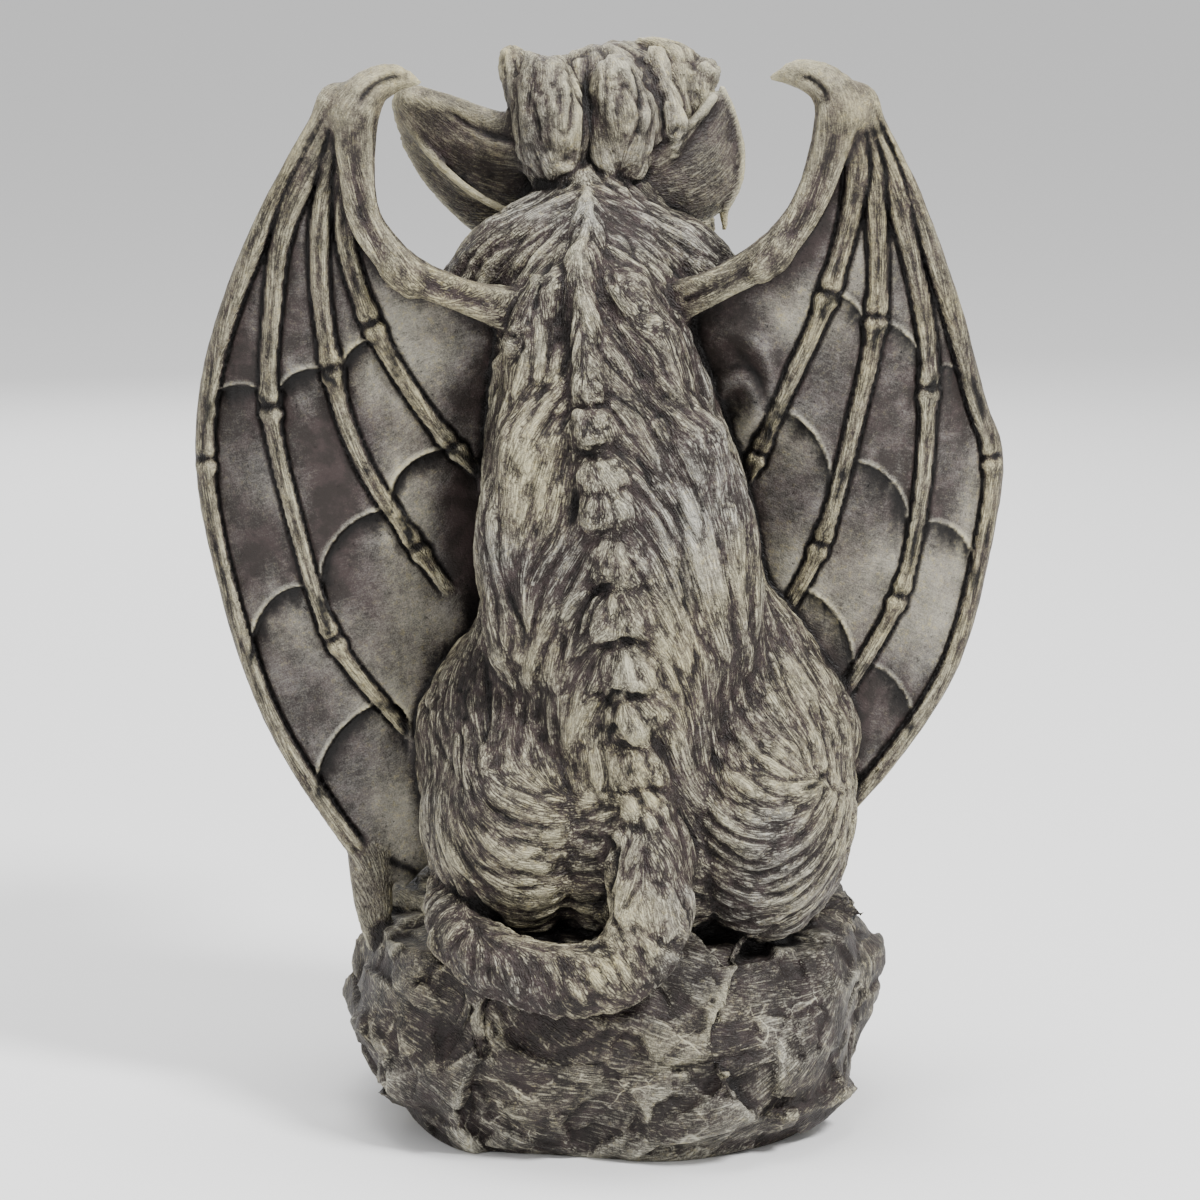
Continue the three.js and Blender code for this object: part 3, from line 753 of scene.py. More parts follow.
# Skin of the field, by surface nets
CORNERS = np.array([[i, j, k] for i in (0, 1) for j in (0, 1) for k in (0, 1)])


def surface():
    inside = field < 0
    mixed = np.zeros([n - 1 for n in COUNT], dtype=np.uint8)
    for i, j, k in CORNERS:
        mixed += inside[i:COUNT[0] - 1 + i, j:COUNT[1] - 1 + j, k:COUNT[2] - 1 + k]
    cells = np.argwhere((mixed > 0) & (mixed < 8)).astype(np.int32)
    values = np.stack([field[tuple((cells + corner).T)] for corner in CORNERS])
    total = np.zeros((len(cells), 3))
    number = np.zeros(len(cells))
    for a in range(8):
        for b in range(a + 1, 8):
            if np.abs(CORNERS[a] - CORNERS[b]).sum() != 1:
                continue
            crossed = (values[a] < 0) != (values[b] < 0)
            gap = np.where(crossed, values[a] - values[b], 1.0)
            t = np.where(crossed, values[a] / gap, 0.0)
            total += crossed[:, None] * (CORNERS[a] + t[:, None] * (CORNERS[b] - CORNERS[a]))
            number += crossed
    points = LOW + PITCH * (cells + total / number[:, None])
    label = np.full(mixed.shape, -1, dtype=np.int32)
    label[tuple(cells.T)] = np.arange(len(cells))
    quads = []
    for axis in range(3):
        u, v = (axis + 1) % 3, (axis + 2) % 3
        here = [slice(0, -1) if i == axis else slice(1, -1) for i in range(3)]
        there = [slice(1, None) if i == axis else slice(1, -1) for i in range(3)]
        first, second = inside[tuple(here)], inside[tuple(there)]
        for outward in (True, False):
            crossing = np.argwhere((first & ~second) if outward else (~first & second))
            crossing[:, u] += 1
            crossing[:, v] += 1
            ring = []
            for du, dv in ((-1, -1), (0, -1), (0, 0), (-1, 0)):
                at = crossing.copy()
                at[:, u] += du
                at[:, v] += dv
                ring.append(label[tuple(at.T)])
            ring = np.stack(ring, axis=1)
            quads.append(ring if outward else ring[:, ::-1])
    return points, np.concatenate(quads)


def split(points, quads):
    """Each quad as two triangles along its shorter diagonal."""
    a, b, c, d = (points[quads[:, i]] for i in range(4))
    short = ((a - c) ** 2).sum(1) <= ((b - d) ** 2).sum(1)
    one = np.where(short[:, None], quads[:, [0, 1, 2]], quads[:, [0, 1, 3]])
    two = np.where(short[:, None], quads[:, [0, 2, 3]], quads[:, [1, 2, 3]])
    return np.concatenate([one, two])


def face_normals(points, faces):
    a, b, c = (points[faces[:, i]] for i in range(3))
    return np.cross(b - a, c - a)


def gather(faces, values, count):
    """Sum a value per face onto its corners."""
    return sum(np.bincount(faces[:, i], weights=values, minlength=count) for i in range(3))


def vertex_normals(points, faces):
    normals = face_normals(points, faces)
    summed = np.stack([gather(faces, normals[:, i], len(points)) for i in range(3)], axis=1)
    return summed / np.maximum(np.linalg.norm(summed, axis=1, keepdims=True), 1e-12)


def relax(faces, values, rounds):
    """Average a value with its neighbours' on the skin."""
    count = len(values)
    number = np.maximum(gather(faces, np.full(len(faces), 2.0), count), 1.0)
    for _ in range(rounds):
        total = np.zeros(count)
        for i in range(3):
            j, k = (i + 1) % 3, (i + 2) % 3
            both = values[faces[:, j]] + values[faces[:, k]]
            total += np.bincount(faces[:, i], weights=both, minlength=count)
        values = 0.35 * values + 0.65 * total / number
    return values


def box_blur(volume, half):
    """Mean over a cube 2 half + 1 cells wide, along each axis in turn."""
    for axis in range(3):
        padded = np.concatenate([
            np.repeat(volume.take([0], axis), half + 1, axis), volume,
            np.repeat(volume.take([-1], axis), half, axis),
        ], axis)
        sums = np.cumsum(padded, axis=axis, dtype=np.float64)
        wide = 2 * half + 1
        high = sums.take(np.arange(wide, sums.shape[axis]), axis)
        low = sums.take(np.arange(0, sums.shape[axis] - wide), axis)
        volume = ((high - low) / wide).astype(np.float32)
    return volume


def sample(volume, low, pitch, points):
    """Trilinear reading of a grid at points."""
    at = (points - low) / pitch
    limit = np.array(volume.shape) - 2
    base = np.clip(np.floor(at).astype(np.int32), 0, limit)
    part = np.clip(at - base, 0, 1)
    total = 0.0
    for corner in CORNERS:
        share = np.prod(np.where(corner, part, 1 - part), axis=1)
        total = total + volume[tuple((base + corner).T)] * share
    return total


points, quads = surface()
faces = split(points, quads)
normals = vertex_normals(points, faces)


# Where the photograph shows each point, in its pixels
def seen(at):
    x, y, z = at.T
    up = -y * sin(TILT) + (z - AIM) * cos(TILT)
    deep = REACH - (y * cos(TILT) + (z - AIM) * sin(TILT))
    return MIDDLE[0] - FOCAL * x / deep, MIDDLE[1] - FOCAL * up / deep


def lay(dx, dy):
    """A direction in the photograph, right and down, as one in space."""
    return np.stack([-dx, dy * sin(TILT), -dy * cos(TILT)], axis=1)


# Lie of the fur, as strokes in the photograph's pixels from root to tip
STROKES = [
    # mane and shoulders
    [(583, 190), (553, 198), (515, 220), (476, 248)], [(575, 205), (545, 226), (512, 246), (478, 268)],
    [(572, 228), (545, 254), (522, 285), (512, 305)], [(588, 186), (617, 197), (655, 213), (700, 240)],
    [(594, 200), (630, 228), (668, 254), (700, 282)], [(606, 246), (632, 268), (660, 288)],
    [(600, 264), (608, 290), (624, 312)], [(590, 320), (612, 343), (626, 362), (640, 388)],
    [(575, 322), (564, 343), (558, 372)], [(536, 300), (543, 333), (541, 372)],
    [(566, 384), (543, 400), (522, 425), (506, 458)], [(600, 380), (630, 402), (652, 432), (670, 464)],
    [(645, 378), (675, 410), (703, 436), (720, 470)], [(668, 300), (676, 336), (686, 372)],
    [(470, 268), (455, 290), (442, 315)],
    # back, left of the spine
    [(502, 470), (497, 537), (506, 590), (528, 636)], [(543, 470), (528, 524), (520, 562), (524, 603)],
    [(573, 496), (560, 537), (541, 560), (522, 590)],
    [(592, 540), (566, 573), (543, 606), (527, 640), (517, 680)],
    [(594, 582), (573, 603), (553, 628), (538, 664), (532, 704)],
    [(598, 634), (578, 655), (562, 680), (553, 715), (553, 748)],
    [(602, 690), (584, 710), (572, 738), (566, 760)], [(500, 600), (494, 650), (500, 700), (498, 740)],
    # back, right of the spine
    [(617, 462), (642, 480), (668, 511), (688, 549), (706, 605)],
    [(630, 531), (647, 550), (662, 568), (676, 593), (690, 625)],
    [(640, 588), (658, 608), (676, 633), (691, 664), (700, 707)],
    [(642, 642), (665, 664), (683, 690), (694, 720), (698, 748)],
    [(647, 697), (665, 715), (682, 742)], [(693, 473), (709, 511), (719, 549), (728, 593), (745, 635)],
    [(716, 478), (729, 537), (738, 588), (762, 625)], [(735, 560), (752, 600), (766, 640), (780, 668)],
    # right haunch
    [(681, 671), (702, 707), (712, 742), (716, 771)], [(718, 671), (722, 707), (728, 734), (744, 762)],
    [(763, 650), (772, 681), (785, 707), (796, 732)], [(804, 695), (820, 716), (824, 742), (812, 770)],
    [(826, 707), (842, 730), (848, 756), (836, 782)], [(751, 726), (771, 746), (793, 762), (810, 773)],
    [(722, 746), (742, 771), (773, 789), (800, 791), (818, 781)],
    [(712, 771), (734, 799), (767, 813), (800, 813), (828, 797)],
    [(681, 795), (706, 820), (742, 836), (783, 838), (816, 824), (838, 799)],
    [(689, 834), (722, 856), (763, 864), (804, 854), (832, 830)],
    [(691, 864), (722, 883), (763, 889), (804, 877), (834, 852)],
    [(700, 895), (734, 911), (773, 911), (808, 897), (828, 877)],
    [(681, 922), (712, 934), (753, 938), (793, 926), (818, 903)],
    [(681, 946), (712, 954), (753, 954), (787, 944)], [(657, 779), (673, 807), (687, 834), (693, 860)],
    # left haunch
    [(423, 757), (434, 797), (450, 832), (473, 862), (507, 882), (545, 893), (584, 895), (610, 885)],
    [(448, 769), (457, 803), (480, 832), (515, 859), (553, 866), (591, 862), (616, 847)],
    [(463, 763), (482, 792), (507, 813), (543, 824), (582, 820), (607, 809)],
    [(480, 769), (507, 790), (534, 803), (568, 805), (597, 799)],
    [(436, 813), (448, 855), (465, 893), (490, 918), (524, 933), (563, 939), (591, 931)],
    [(446, 836), (463, 878), (492, 908), (526, 924), (565, 924), (599, 908)],
    [(553, 740), (563, 765), (572, 784)], [(582, 744), (584, 769), (578, 790)],
    [(601, 759), (607, 778), (599, 797)],
    [(486, 742), (492, 759), (480, 771)], [(424, 690), (430, 725), (446, 758)],
    [(455, 650), (460, 700), (478, 735)],
    # tail
    [(640, 838), (628, 862), (622, 884)], [(648, 838), (664, 866), (668, 892)],
    [(636, 880), (618, 905), (612, 925)],
    [(650, 880), (662, 905), (660, 930)], [(610, 925), (630, 940), (642, 962)],
    [(600, 945), (616, 962), (628, 982)],
    [(467, 950), (470, 972), (462, 990)], [(484, 957), (490, 983), (490, 1008)],
    [(507, 958), (519, 979), (522, 1004)],
    [(534, 960), (546, 985), (551, 1008)], [(563, 960), (574, 983), (584, 998)],
    [(587, 955), (603, 972), (616, 988)],
    [(457, 889), (434, 905)], [(458, 905), (438, 922)], [(466, 930), (444, 950)],
    # head and ears
    [(530, 54), (533, 91), (535, 139), (547, 175)], [(564, 59), (564, 103), (564, 139), (567, 178)],
    [(593, 66), (598, 103), (605, 139), (613, 176)], [(632, 78), (642, 110), (637, 146), (625, 174)],
    [(656, 54), (670, 78), (676, 115), (671, 134)], [(700, 62), (692, 91), (694, 116)],
    [(516, 50), (521, 78), (526, 115)], [(659, 161), (678, 146), (702, 132), (719, 104)],
    [(666, 188), (690, 184), (719, 166), (738, 139)], [(671, 206), (702, 204), (733, 188)],
    [(506, 146), (472, 137), (441, 117), (412, 96)], [(506, 205), (460, 178), (428, 146), (402, 110)],
    [(518, 166), (496, 173), (472, 166), (448, 150)],
    # arms of the wings
    [(506, 338), (470, 318), (430, 294), (404, 272)], [(404, 272), (374, 222), (356, 170), (352, 120)],
    [(352, 112), (368, 92), (392, 80), (420, 84)], [(652, 322), (696, 308), (740, 284), (768, 260)],
    [(768, 260), (796, 218), (814, 168), (820, 120)], [(820, 112), (812, 88), (796, 76), (774, 76)],
]

# Deep cuts between locks: (half-width in pixels, depth in mm, points)
CREASES = [
    (2.2, 1.1, [(584, 70), (586, 110), (584, 150), (582, 180)]),
    (2.5, 2.0, [(574, 340), (565, 362), (560, 384)]),
    (2.5, 1.8, [(506, 590), (520, 622), (527, 640)]),
    (2.5, 1.6, [(672, 556), (684, 590), (690, 612)]),
    (3.0, 2.6, [(577, 485), (572, 510), (566, 530)]),
    (3.0, 2.0, [(632, 448), (646, 470), (652, 488)]),
    (3.0, 2.2, [(588, 600), (600, 588), (616, 585)]),
    (3.0, 2.4, [(600, 652), (612, 644), (636, 642)]),
    (3.0, 2.4, [(606, 706), (612, 694), (634, 698), (650, 694)]),
    (3.0, 2.4, [(606, 738), (612, 726), (620, 736)]),
    (3.0, 1.6, [(612, 216), (630, 240), (634, 262)]),
    (2.5, 1.5, [(648, 222), (676, 240), (700, 262)]),
    (2.5, 1.5, [(640, 246), (664, 262), (684, 280)]),
    (3.0, 1.8, [(556, 252), (540, 276), (532, 300)]),
    (2.5, 2.0, [(800, 792), (818, 782), (832, 768)]),
    (2.0, 1.6, [(748, 758), (754, 764)]),
    (2.5, 1.5, [(700, 707), (712, 742), (716, 768)]),
    (2.5, 1.8, [(676, 800), (694, 836), (698, 862)]),
    (3.5, 2.6, [(604, 838), (616, 850), (614, 878), (598, 906)]),
    (2.5, 1.4, [(424, 700), (430, 730), (448, 764), (470, 800)]),
    (2.5, 1.4, [(476, 640), (486, 680), (486, 726), (474, 752)]),
    (2.0, 1.2, [(510, 838), (550, 850), (590, 846)]),
    (2.0, 1.2, [(480, 800), (520, 824), (566, 830)]),
    (2.0, 1.2, [(716, 842), (760, 852), (806, 840)]),
    (2.0, 1.2, [(716, 872), (762, 878), (810, 862)]),
    (2.5, 1.6, [(632, 70), (640, 100), (640, 140)]),
    (2.0, 1.4, [(520, 80), (534, 110), (538, 140)]),
    (2.5, 1.2, [(522, 176), (545, 184), (570, 183), (582, 178)]),
    (2.5, 1.2, [(586, 180), (612, 187), (636, 182), (652, 168)]),
    (3.5, 2.4, [(358, 104), (366, 92), (384, 79), (407, 76)]),
    (3.5, 2.2, [(826, 104), (824, 92), (812, 80), (792, 74)]),
    (2.5, 1.5, [(444, 108), (478, 130), (518, 142)]),
    (2.0, 1.3, [(452, 126), (484, 147), (518, 154)]),
    (2.0, 1.2, [(472, 146), (496, 158), (520, 163)]),
    (2.5, 1.6, [(672, 150), (690, 134), (708, 116)]),
]

# Worn edges that catch the paint: (half-width in pixels, strength, points)
RIMS = [
    (2.0, 0.5, [(396, 116), (412, 141), (453, 180), (482, 204), (504, 216)]),
    (2.0, 0.6, [(722, 84), (735, 108), (743, 150), (742, 188), (731, 215)]),
    (3.0, 0.5, [(402, 94), (440, 106), (486, 124)]),
    (3.0, 0.5, [(576, 70), (578, 110), (576, 150)]),
    (2.5, 0.5, [(664, 60), (676, 90), (682, 126)]),
]

# Patches of paint, of painted highlight and painted shade, and of pitting: (x, y, half-width, half-height,
# strength)
# Pale paint, and painted highlights on upper surfaces lit from above such as the shoulders; negative
# strengths paint darker
PALE = [
    (560, 250, 90, 60, 0.18), (640, 215, 50, 20, 0.1), (600, 420, 80, 60, 0.1),
    (690, 500, 26, 60, 0.6), (700, 540, 20, 40, 0.3), (534, 470, 26, 50, 0.35), (622, 505, 18, 22, 0.45),
    (620, 557, 16, 18, 0.5),
    (624, 612, 18, 16, 0.4), (632, 668, 16, 20, 0.5), (640, 735, 16, 16, 0.4), (648, 800, 18, 22, 0.4),
    (540, 360, 14, 26, 0.35),
    (545, 780, 40, 20, 0.4), (520, 250, 40, 30, 0.15), (590, 225, 14, 16, 0.4), (720, 820, 40, 20, 0.3),
    (680, 600, 20, 40, 0.3),
    (650, 655, 14, 10, 0.5), (760, 780, 60, 80, 0.22), (880, 480, 110, 260, -0.06),
    (600, 110, 110, 50, -0.14), (470, 150, 60, 50, -0.08), (565, 130, 12, 46, 0.3),
    (640, 900, 16, 30, 0.25), (470, 965, 26, 24, 0.25),
    (612, 962, 10, 12, 0.9), (594, 974, 10, 8, 0.9), (600, 1005, 60, 14, -0.5), (530, 985, 90, 40, -0.35),
    (460, 920, 30, 50, -0.3), (740, 1000, 60, 24, 0.25), (690, 1070, 120, 40, 0.1),
]
YELLOW = [
    (534, 480, 30, 60, 0.5), (680, 690, 26, 50, 0.5), (648, 790, 30, 40, 0.6), (545, 780, 50, 26, 0.5),
    (480, 960, 60, 40, 0.5),
    (612, 962, 12, 12, 1.0), (594, 974, 12, 9, 1.0), (512, 52, 14, 12, 0.9), (657, 50, 8, 10, 0.9),
    (560, 150, 14, 40, 0.5),
    (630, 600, 30, 50, 0.4), (700, 650, 30, 30, 0.4), (496, 155, 14, 8, 0.9), (590, 1040, 60, 20, 0.5),
    (655, 1120, 40, 16, 0.4),
]
# Painted shade in the gaps between wings, haunches, tail and rock, under the head and ears and between the
# spine's knobs, with some dark patches of paint on the tail and rock
DARK = [
    (570, 938, 60, 9, 0.8), (418, 875, 14, 24, 0.9),
    (700, 200, 50, 14, 0.5), (500, 190, 26, 14, 0.6), (615, 180, 34, 6, 0.5), (547, 182, 26, 7, 0.5),
    (576, 500, 6, 26, 0.6),
    (590, 430, 20, 14, 0.35), (618, 400, 30, 16, 0.3), (610, 695, 8, 8, 0.7), (606, 730, 8, 9, 0.8),
    (652, 728, 8, 8, 0.6),
    (560, 630, 26, 30, 0.25), (465, 690, 26, 50, 0.35), (640, 770, 14, 10, 0.4), (820, 786, 16, 10, 0.6),
    (700, 905, 16, 30, 0.4),
    (704, 215, 34, 10, 0.4), (660, 130, 8, 40, 0.4), (780, 265, 12, 26, 0.5), (400, 880, 20, 40, 0.6),
    (380, 900, 22, 40, 0.4),
    (880, 960, 30, 50, 0.3), (420, 1000, 60, 60, 0.25), (700, 1150, 200, 20, 0.2), (590, 900, 30, 12, 0.5),
    (465, 860, 10, 40, 0.4),
]
PITTED = [
    (545, 300, 26, 26, 1.0), (540, 345, 22, 30, 1.0), (524, 330, 20, 30, 0.9), (655, 400, 24, 40, 0.8),
    (470, 270, 22, 24, 0.8),
    (464, 690, 26, 46, 0.8), (618, 560, 20, 20, 0.4), (622, 612, 22, 18, 0.4), (516, 60, 14, 16, 0.9),
    (640, 790, 26, 30, 0.5),
    (624, 510, 22, 22, 0.7), (600, 330, 18, 60, 0.5), (470, 180, 40, 24, 0.8), (560, 150, 20, 30, 0.5),
    (620, 150, 24, 30, 0.5),
]


def dabs(table, px, py):
    total = np.zeros(len(px))
    for x, y, wide, high, amount in table:
        total += amount * np.exp(-(((px - x) / wide) ** 2) - ((py - y) / high) ** 2)
    return total


def picture_map(cell, values, px, py):
    """Bilinear reading of a map laid over the photograph."""
    side = values.shape[0]
    u, v = np.clip(px / cell, 0, side - 1.001), np.clip(py / cell, 0, side - 1.001)
    iu, iv = u.astype(int), v.astype(int)
    fu, fv = u - iu, v - iv
    top = values[iu, iv] * (1 - fu) + values[iu + 1, iv] * fu
    low = values[iu, iv + 1] * (1 - fu) + values[iu + 1, iv + 1] * fu
    return top * (1 - fv) + low * fv


def comb(px, py):
    """Direction of the nearest strokes at each picture point."""
    cell = 6.0
    ticks = np.arange(0, PICTURE + cell, cell)
    u, v = ticks[:, None], ticks[None, :]
    right, down = np.zeros((len(ticks),) * 2), np.zeros((len(ticks),) * 2)
    for stroke in STROKES:
        line = smooth_line(stroke, 14.0, 2)
        for a, b in zip(line, line[1:]):
            run = b - a
            t = np.clip(((u - a[0]) * run[0] + (v - a[1]) * run[1]) / (run @ run), 0, 1)
            gap = (u - a[0] - t * run[0]) ** 2 + (v - a[1] - t * run[1]) ** 2
            share = 1.0 / (gap + 50.0) ** 1.6
            right += share * run[0]
            down += share * run[1]
    size = np.hypot(right, down)
    return picture_map(cell, right / size, px, py), picture_map(cell, down / size, px, py)


def drawn(table, px, py):
    """Lines drawn over the photograph, as strong as their own amounts."""
    cell = 1.5
    ticks = np.arange(0, PICTURE + cell, cell)
    depth = np.zeros((len(ticks),) * 2)
    for half, deep, stroke in table:
        line = smooth_line(stroke, 6.0, 2)
        gap, along, _ = trace(line, 14.0, (ticks, ticks))
        ends = step(along, 0, 12) * step(along, along.max(), along.max() - 12)
        depth = np.maximum(depth, deep * hill(gap, half) * (0.35 + 0.65 * ends) * (gap < 13.9))
    return picture_map(cell, depth, px, py)


def onto(vectors, normals):
    return unit(vectors - (vectors * normals).sum(1, keepdims=True) * normals)


def facets(at, share, number, flatness, tilt, shift, seed):
    """Chipped stone: cells flattened along the beds, each with its own slope and height."""
    chance = np.random.default_rng(seed)
    centres = chance.uniform([-140, -125, -5], [130, 125, 125], (number, 3))
    slopes = chance.uniform(-tilt, tilt, (number, 3))
    steps = chance.uniform(-shift, shift, number)
    mine = np.flatnonzero(share > 0.02)
    stone = at[mine]
    bed = unit(np.stack([-0.55 * np.tanh(stone[:, 0] / 40), 0 * stone[:, 0], np.ones(len(mine))], axis=1))
    nearest, cell = np.full(len(mine), 1e9), np.zeros(len(mine), dtype=int)
    for index, centre in enumerate(centres):
        off = stone - centre
        size = (off**2).sum(1) + flatness * (off * bed).sum(1) ** 2
        closer = size < nearest
        nearest[closer] = size[closer]
        cell[closer] = index
    height, tone = np.zeros(len(at)), np.zeros(len(at))
    height[mine] = ((stone - centres[cell]) * slopes[cell]).sum(1) + steps[cell]
    tone[mine] = steps[cell] / shift
    return np.clip(height, -3 * shift, 3 * shift), tone


# What each point of the skin belongs to
count = len(points)
px, py = seen(points)
toward = normals @ np.array([0, cos(TILT), sin(TILT)])
facing = step(toward, -0.05, 0.3)
home = np.clip(((points - normals * 0.7 * PITCH - LOW) / PITCH).round().astype(int), 0, np.array(COUNT) - 1)
label = owner[tuple(home.T)]
zones = {zone: relax(faces, (label == zone).astype(float), 2) for zone in range(6)}

# How full the space round each point is, near by and further off: half means flat
trimmed = field[:COUNT[0] // 2 * 2, :COUNT[1] // 2 * 2, :COUNT[2] // 2 * 2]
full = np.clip(0.5 - trimmed / (2 * PITCH), 0, 1)
full = full.reshape(COUNT[0] // 2, 2, COUNT[1] // 2, 2, COUNT[2] // 2, 2).mean(axis=(1, 3, 5))
middle = LOW + PITCH * 0.5
close = sample(box_blur(full, 1), middle, 2 * PITCH, points)
blurred = box_blur(box_blur(full, 3), 3)
wide = sample(blurred, middle, 2 * PITCH, points + normals * 4)

# Readings of the wing sheets
on_web = np.flatnonzero((label == WEB) & (np.abs(points[:, 0]) > 28))
sheet = {key: np.zeros(count) for key in ("bone", "rim", "shade", "bone_u", "bone_v")}
for name, plan in WINGS.items():
    grid = SHEET[name]["grid"]
    mine = on_web[points[on_web, 0] * plan["side"] > 0]
    out, height = points[mine, 0] * plan["side"], points[mine, 2]
    i = np.clip(np.searchsorted(grid[0], out) - 1, 0, len(grid[0]) - 2)
    j = np.clip(np.searchsorted(grid[1], height) - 1, 0, len(grid[1]) - 2)
    fi = np.clip((out - grid[0][i]) / PITCH, 0, 1)
    fj = np.clip((height - grid[1][j]) / PITCH, 0, 1)
    for key, target in sheet.items():
        table = SHEET[name][key]
        low = table[i, j] * (1 - fi) + table[i + 1, j] * fi
        high = table[i, j + 1] * (1 - fi) + table[i + 1, j + 1] * fi
        target[mine] = low * (1 - fj) + high * fj
back_side = step(toward, -0.2, 0.25)
for key in ("rim", "shade"):
    sheet[key] *= back_side

# Lie of the surface
dx, dy = comb(px, py)
flow = lay(dx, dy)
hidden = np.stack([0.12 * np.sign(points[:, 0]), np.full(count, -0.25), np.full(count, -1.0)], axis=1)
local = (points - HEAD_AT) @ TURN.T
face_part = step(local[:, 1], -18, -34) * step(points[:, 2], 405, 425)
hidden += face_part[:, None] * (np.array([[0.0, 1.2, 0.9]]) @ TURN)
flow = facing[:, None] * flow + (1 - facing[:, None]) * unit(hidden)
drift = fuzz(points, 38.0, 5.0) - 0.5
slant = 1.6 * drift - 0.6 * np.tanh(points[:, 0] / 40)
rocky = np.stack([-np.ones(count), np.full(count, 0.2), slant], axis=1)
flow = np.where(zones[ROCK][:, None] > 0.5, rocky, flow)
outward = np.sign(points[:, 0])
web_flow = np.stack([-outward * sheet["bone_v"], np.zeros(count), sheet["bone_u"] - 0.15], axis=1)
bone_flow = np.stack([outward * sheet["bone_u"], np.zeros(count), sheet["bone_v"]], axis=1)
web_flow = np.where(sheet["bone"][:, None] > 0.5, bone_flow, web_flow)
flow = np.where(label[:, None] == WEB, web_flow, flow)
flow = onto(flow, normals)

# Carving: locks and strands of fur, chipped rock, pits and creases.
# Each grain has its width across and its length along the lie, in millimetres.
LOCKS = (5.4, 30.0)
HAIRS = (3.2, 20.0)
WAVES = (10.0, 38.0)
FULL_STRAND = 1.6  # spread at which a strand stands full height
FUR_DEPTH, HAIR_DEPTH, WAVE_DEPTH = 2.7, 1.1, 0.6
SWELL_DEPTH, ROCK_GRAIN, ROCK_SINK = 1.6, 0.7, 0.3
SKIN_GRAIN = 0.3
PIT_DEPTH = 1.0
# Chipped stone: (cells, flatness along the beds, slope, height, seed)
BLOCKS = (150, 1.6, 0.20, 0.8, 8)
FLAKES = (900, 1.6, 0.26, 0.5, 4)

skin_points = points.astype(np.float32)
flow32 = flow.astype(np.float32)
locks = np.minimum(np.abs(strands(skin_points, flow32, *LOCKS)), FULL_STRAND) / FULL_STRAND
hairs = np.minimum(np.abs(strands(skin_points, flow32, *HAIRS, 7, 31.0)), FULL_STRAND) / FULL_STRAND
waves = strands(skin_points, flow32, *WAVES, 7, 17.0)
swell = fuzz(skin_points, 24.0) - 0.5
rough = fuzz(skin_points, 9.0, 3.0) - 0.5
fine = fuzz(skin_points, 3.6, 9.0) - 0.5
patch = fuzz(skin_points, 30.0, 8.0)
tarnish = step(fuzz(skin_points, 40.0, 2.0), 0.45, 0.65)
pits = step(fuzz(skin_points, 3.0, 13.0), 0.70, 0.84)
pitting = dabs(PITTED, px, py) * facing
crease = drawn(CREASES, px, py) * facing
worn_rim = drawn(RIMS, px, py) * facing
fur = np.clip(zones[FUR], 0, 1)
rest = np.clip(zones[ROCK], 0, 1)
bare = zones[WEB] * (1 - sheet["bone"])
boned = np.clip(zones[BONE] + zones[WEB] * sheet["bone"], 0, 1)
plain = 0.6 + 0.4 * facing
grip = step(close, 0.80, 0.62)
blocks, block_tone = facets(points, rest, *BLOCKS)
flakes, flake_tone = facets(points, rest, *FLAKES)

lift = FUR_DEPTH * (locks - 0.5) + HAIR_DEPTH * (hairs - 0.5) + WAVE_DEPTH * waves
lift = fur * plain * grip * lift
lift += rest * (SWELL_DEPTH * swell + blocks + flakes + ROCK_GRAIN * fine - ROCK_SINK)
lift += boned * (0.35 * (locks - 0.5) + SKIN_GRAIN * fine)
lift += (zones[SKIN] + zones[HORN]) * (0.25 * (locks - 0.5) + SKIN_GRAIN * fine)
pitted_skin = np.clip(pitting + 0.4 * zones[BONE] + 0.15 * zones[SKIN], 0, 1.2)
lift -= PIT_DEPTH * pits * pitted_skin * facing
lift -= crease
sole = step(points[:, 2], 0.2, 6.0)
lift = relax(faces, lift * sole, 1)
points = points + normals * lift[:, None]
points[:, 2] = np.maximum(points[:, 2], 0.0)
normals = vertex_normals(points, faces)

# Paint and painted light: how pale, how dark, and which pale; the darkness is mostly painted shade in
# crevices and hollows, and the pale holds some painted highlights. Curvature is measured after the carving.
CURVED = 0.26  # millimetres above its neighbours at which a point counts as an edge
level = np.stack([relax(faces, points[:, i], 4) for i in range(3)], axis=1)
proud = np.clip(relax(faces, ((points - level) * normals).sum(1), 1) / CURVED, -1.2, 1.2)
edge = np.clip((0.5 - relax(faces, close, 2)) * 3.0, -1, 1)
low_back = (py > 915) * facing


def weighed(*pairs):
    """Sum of value times weight, in the order given."""
    return sum(value * weight for value, weight in pairs)


pale = 0.17 + weighed(
    (edge * (1 - 0.4 * rest), 0.32),
    (proud * (1 - 0.5 * bare - 0.3 * rest), 0.18),
    (fur * (locks - 0.45), 0.12),
    (dabs(PALE, px, py) * facing, 0.34),
    (fur * (patch - 0.5), 0.30),
    (rest * block_tone, 0.06), (rest * flake_tone, 0.08), (rest * rough, 0.10), (rest, -0.06),
    (bare * (patch - 0.5), 0.62), (bare, -0.10),
    (sheet["rim"], 0.34), (worn_rim, 0.5),
    (boned, -0.06), (zones[SKIN], -0.10), (fur * low_back, -0.05),
)
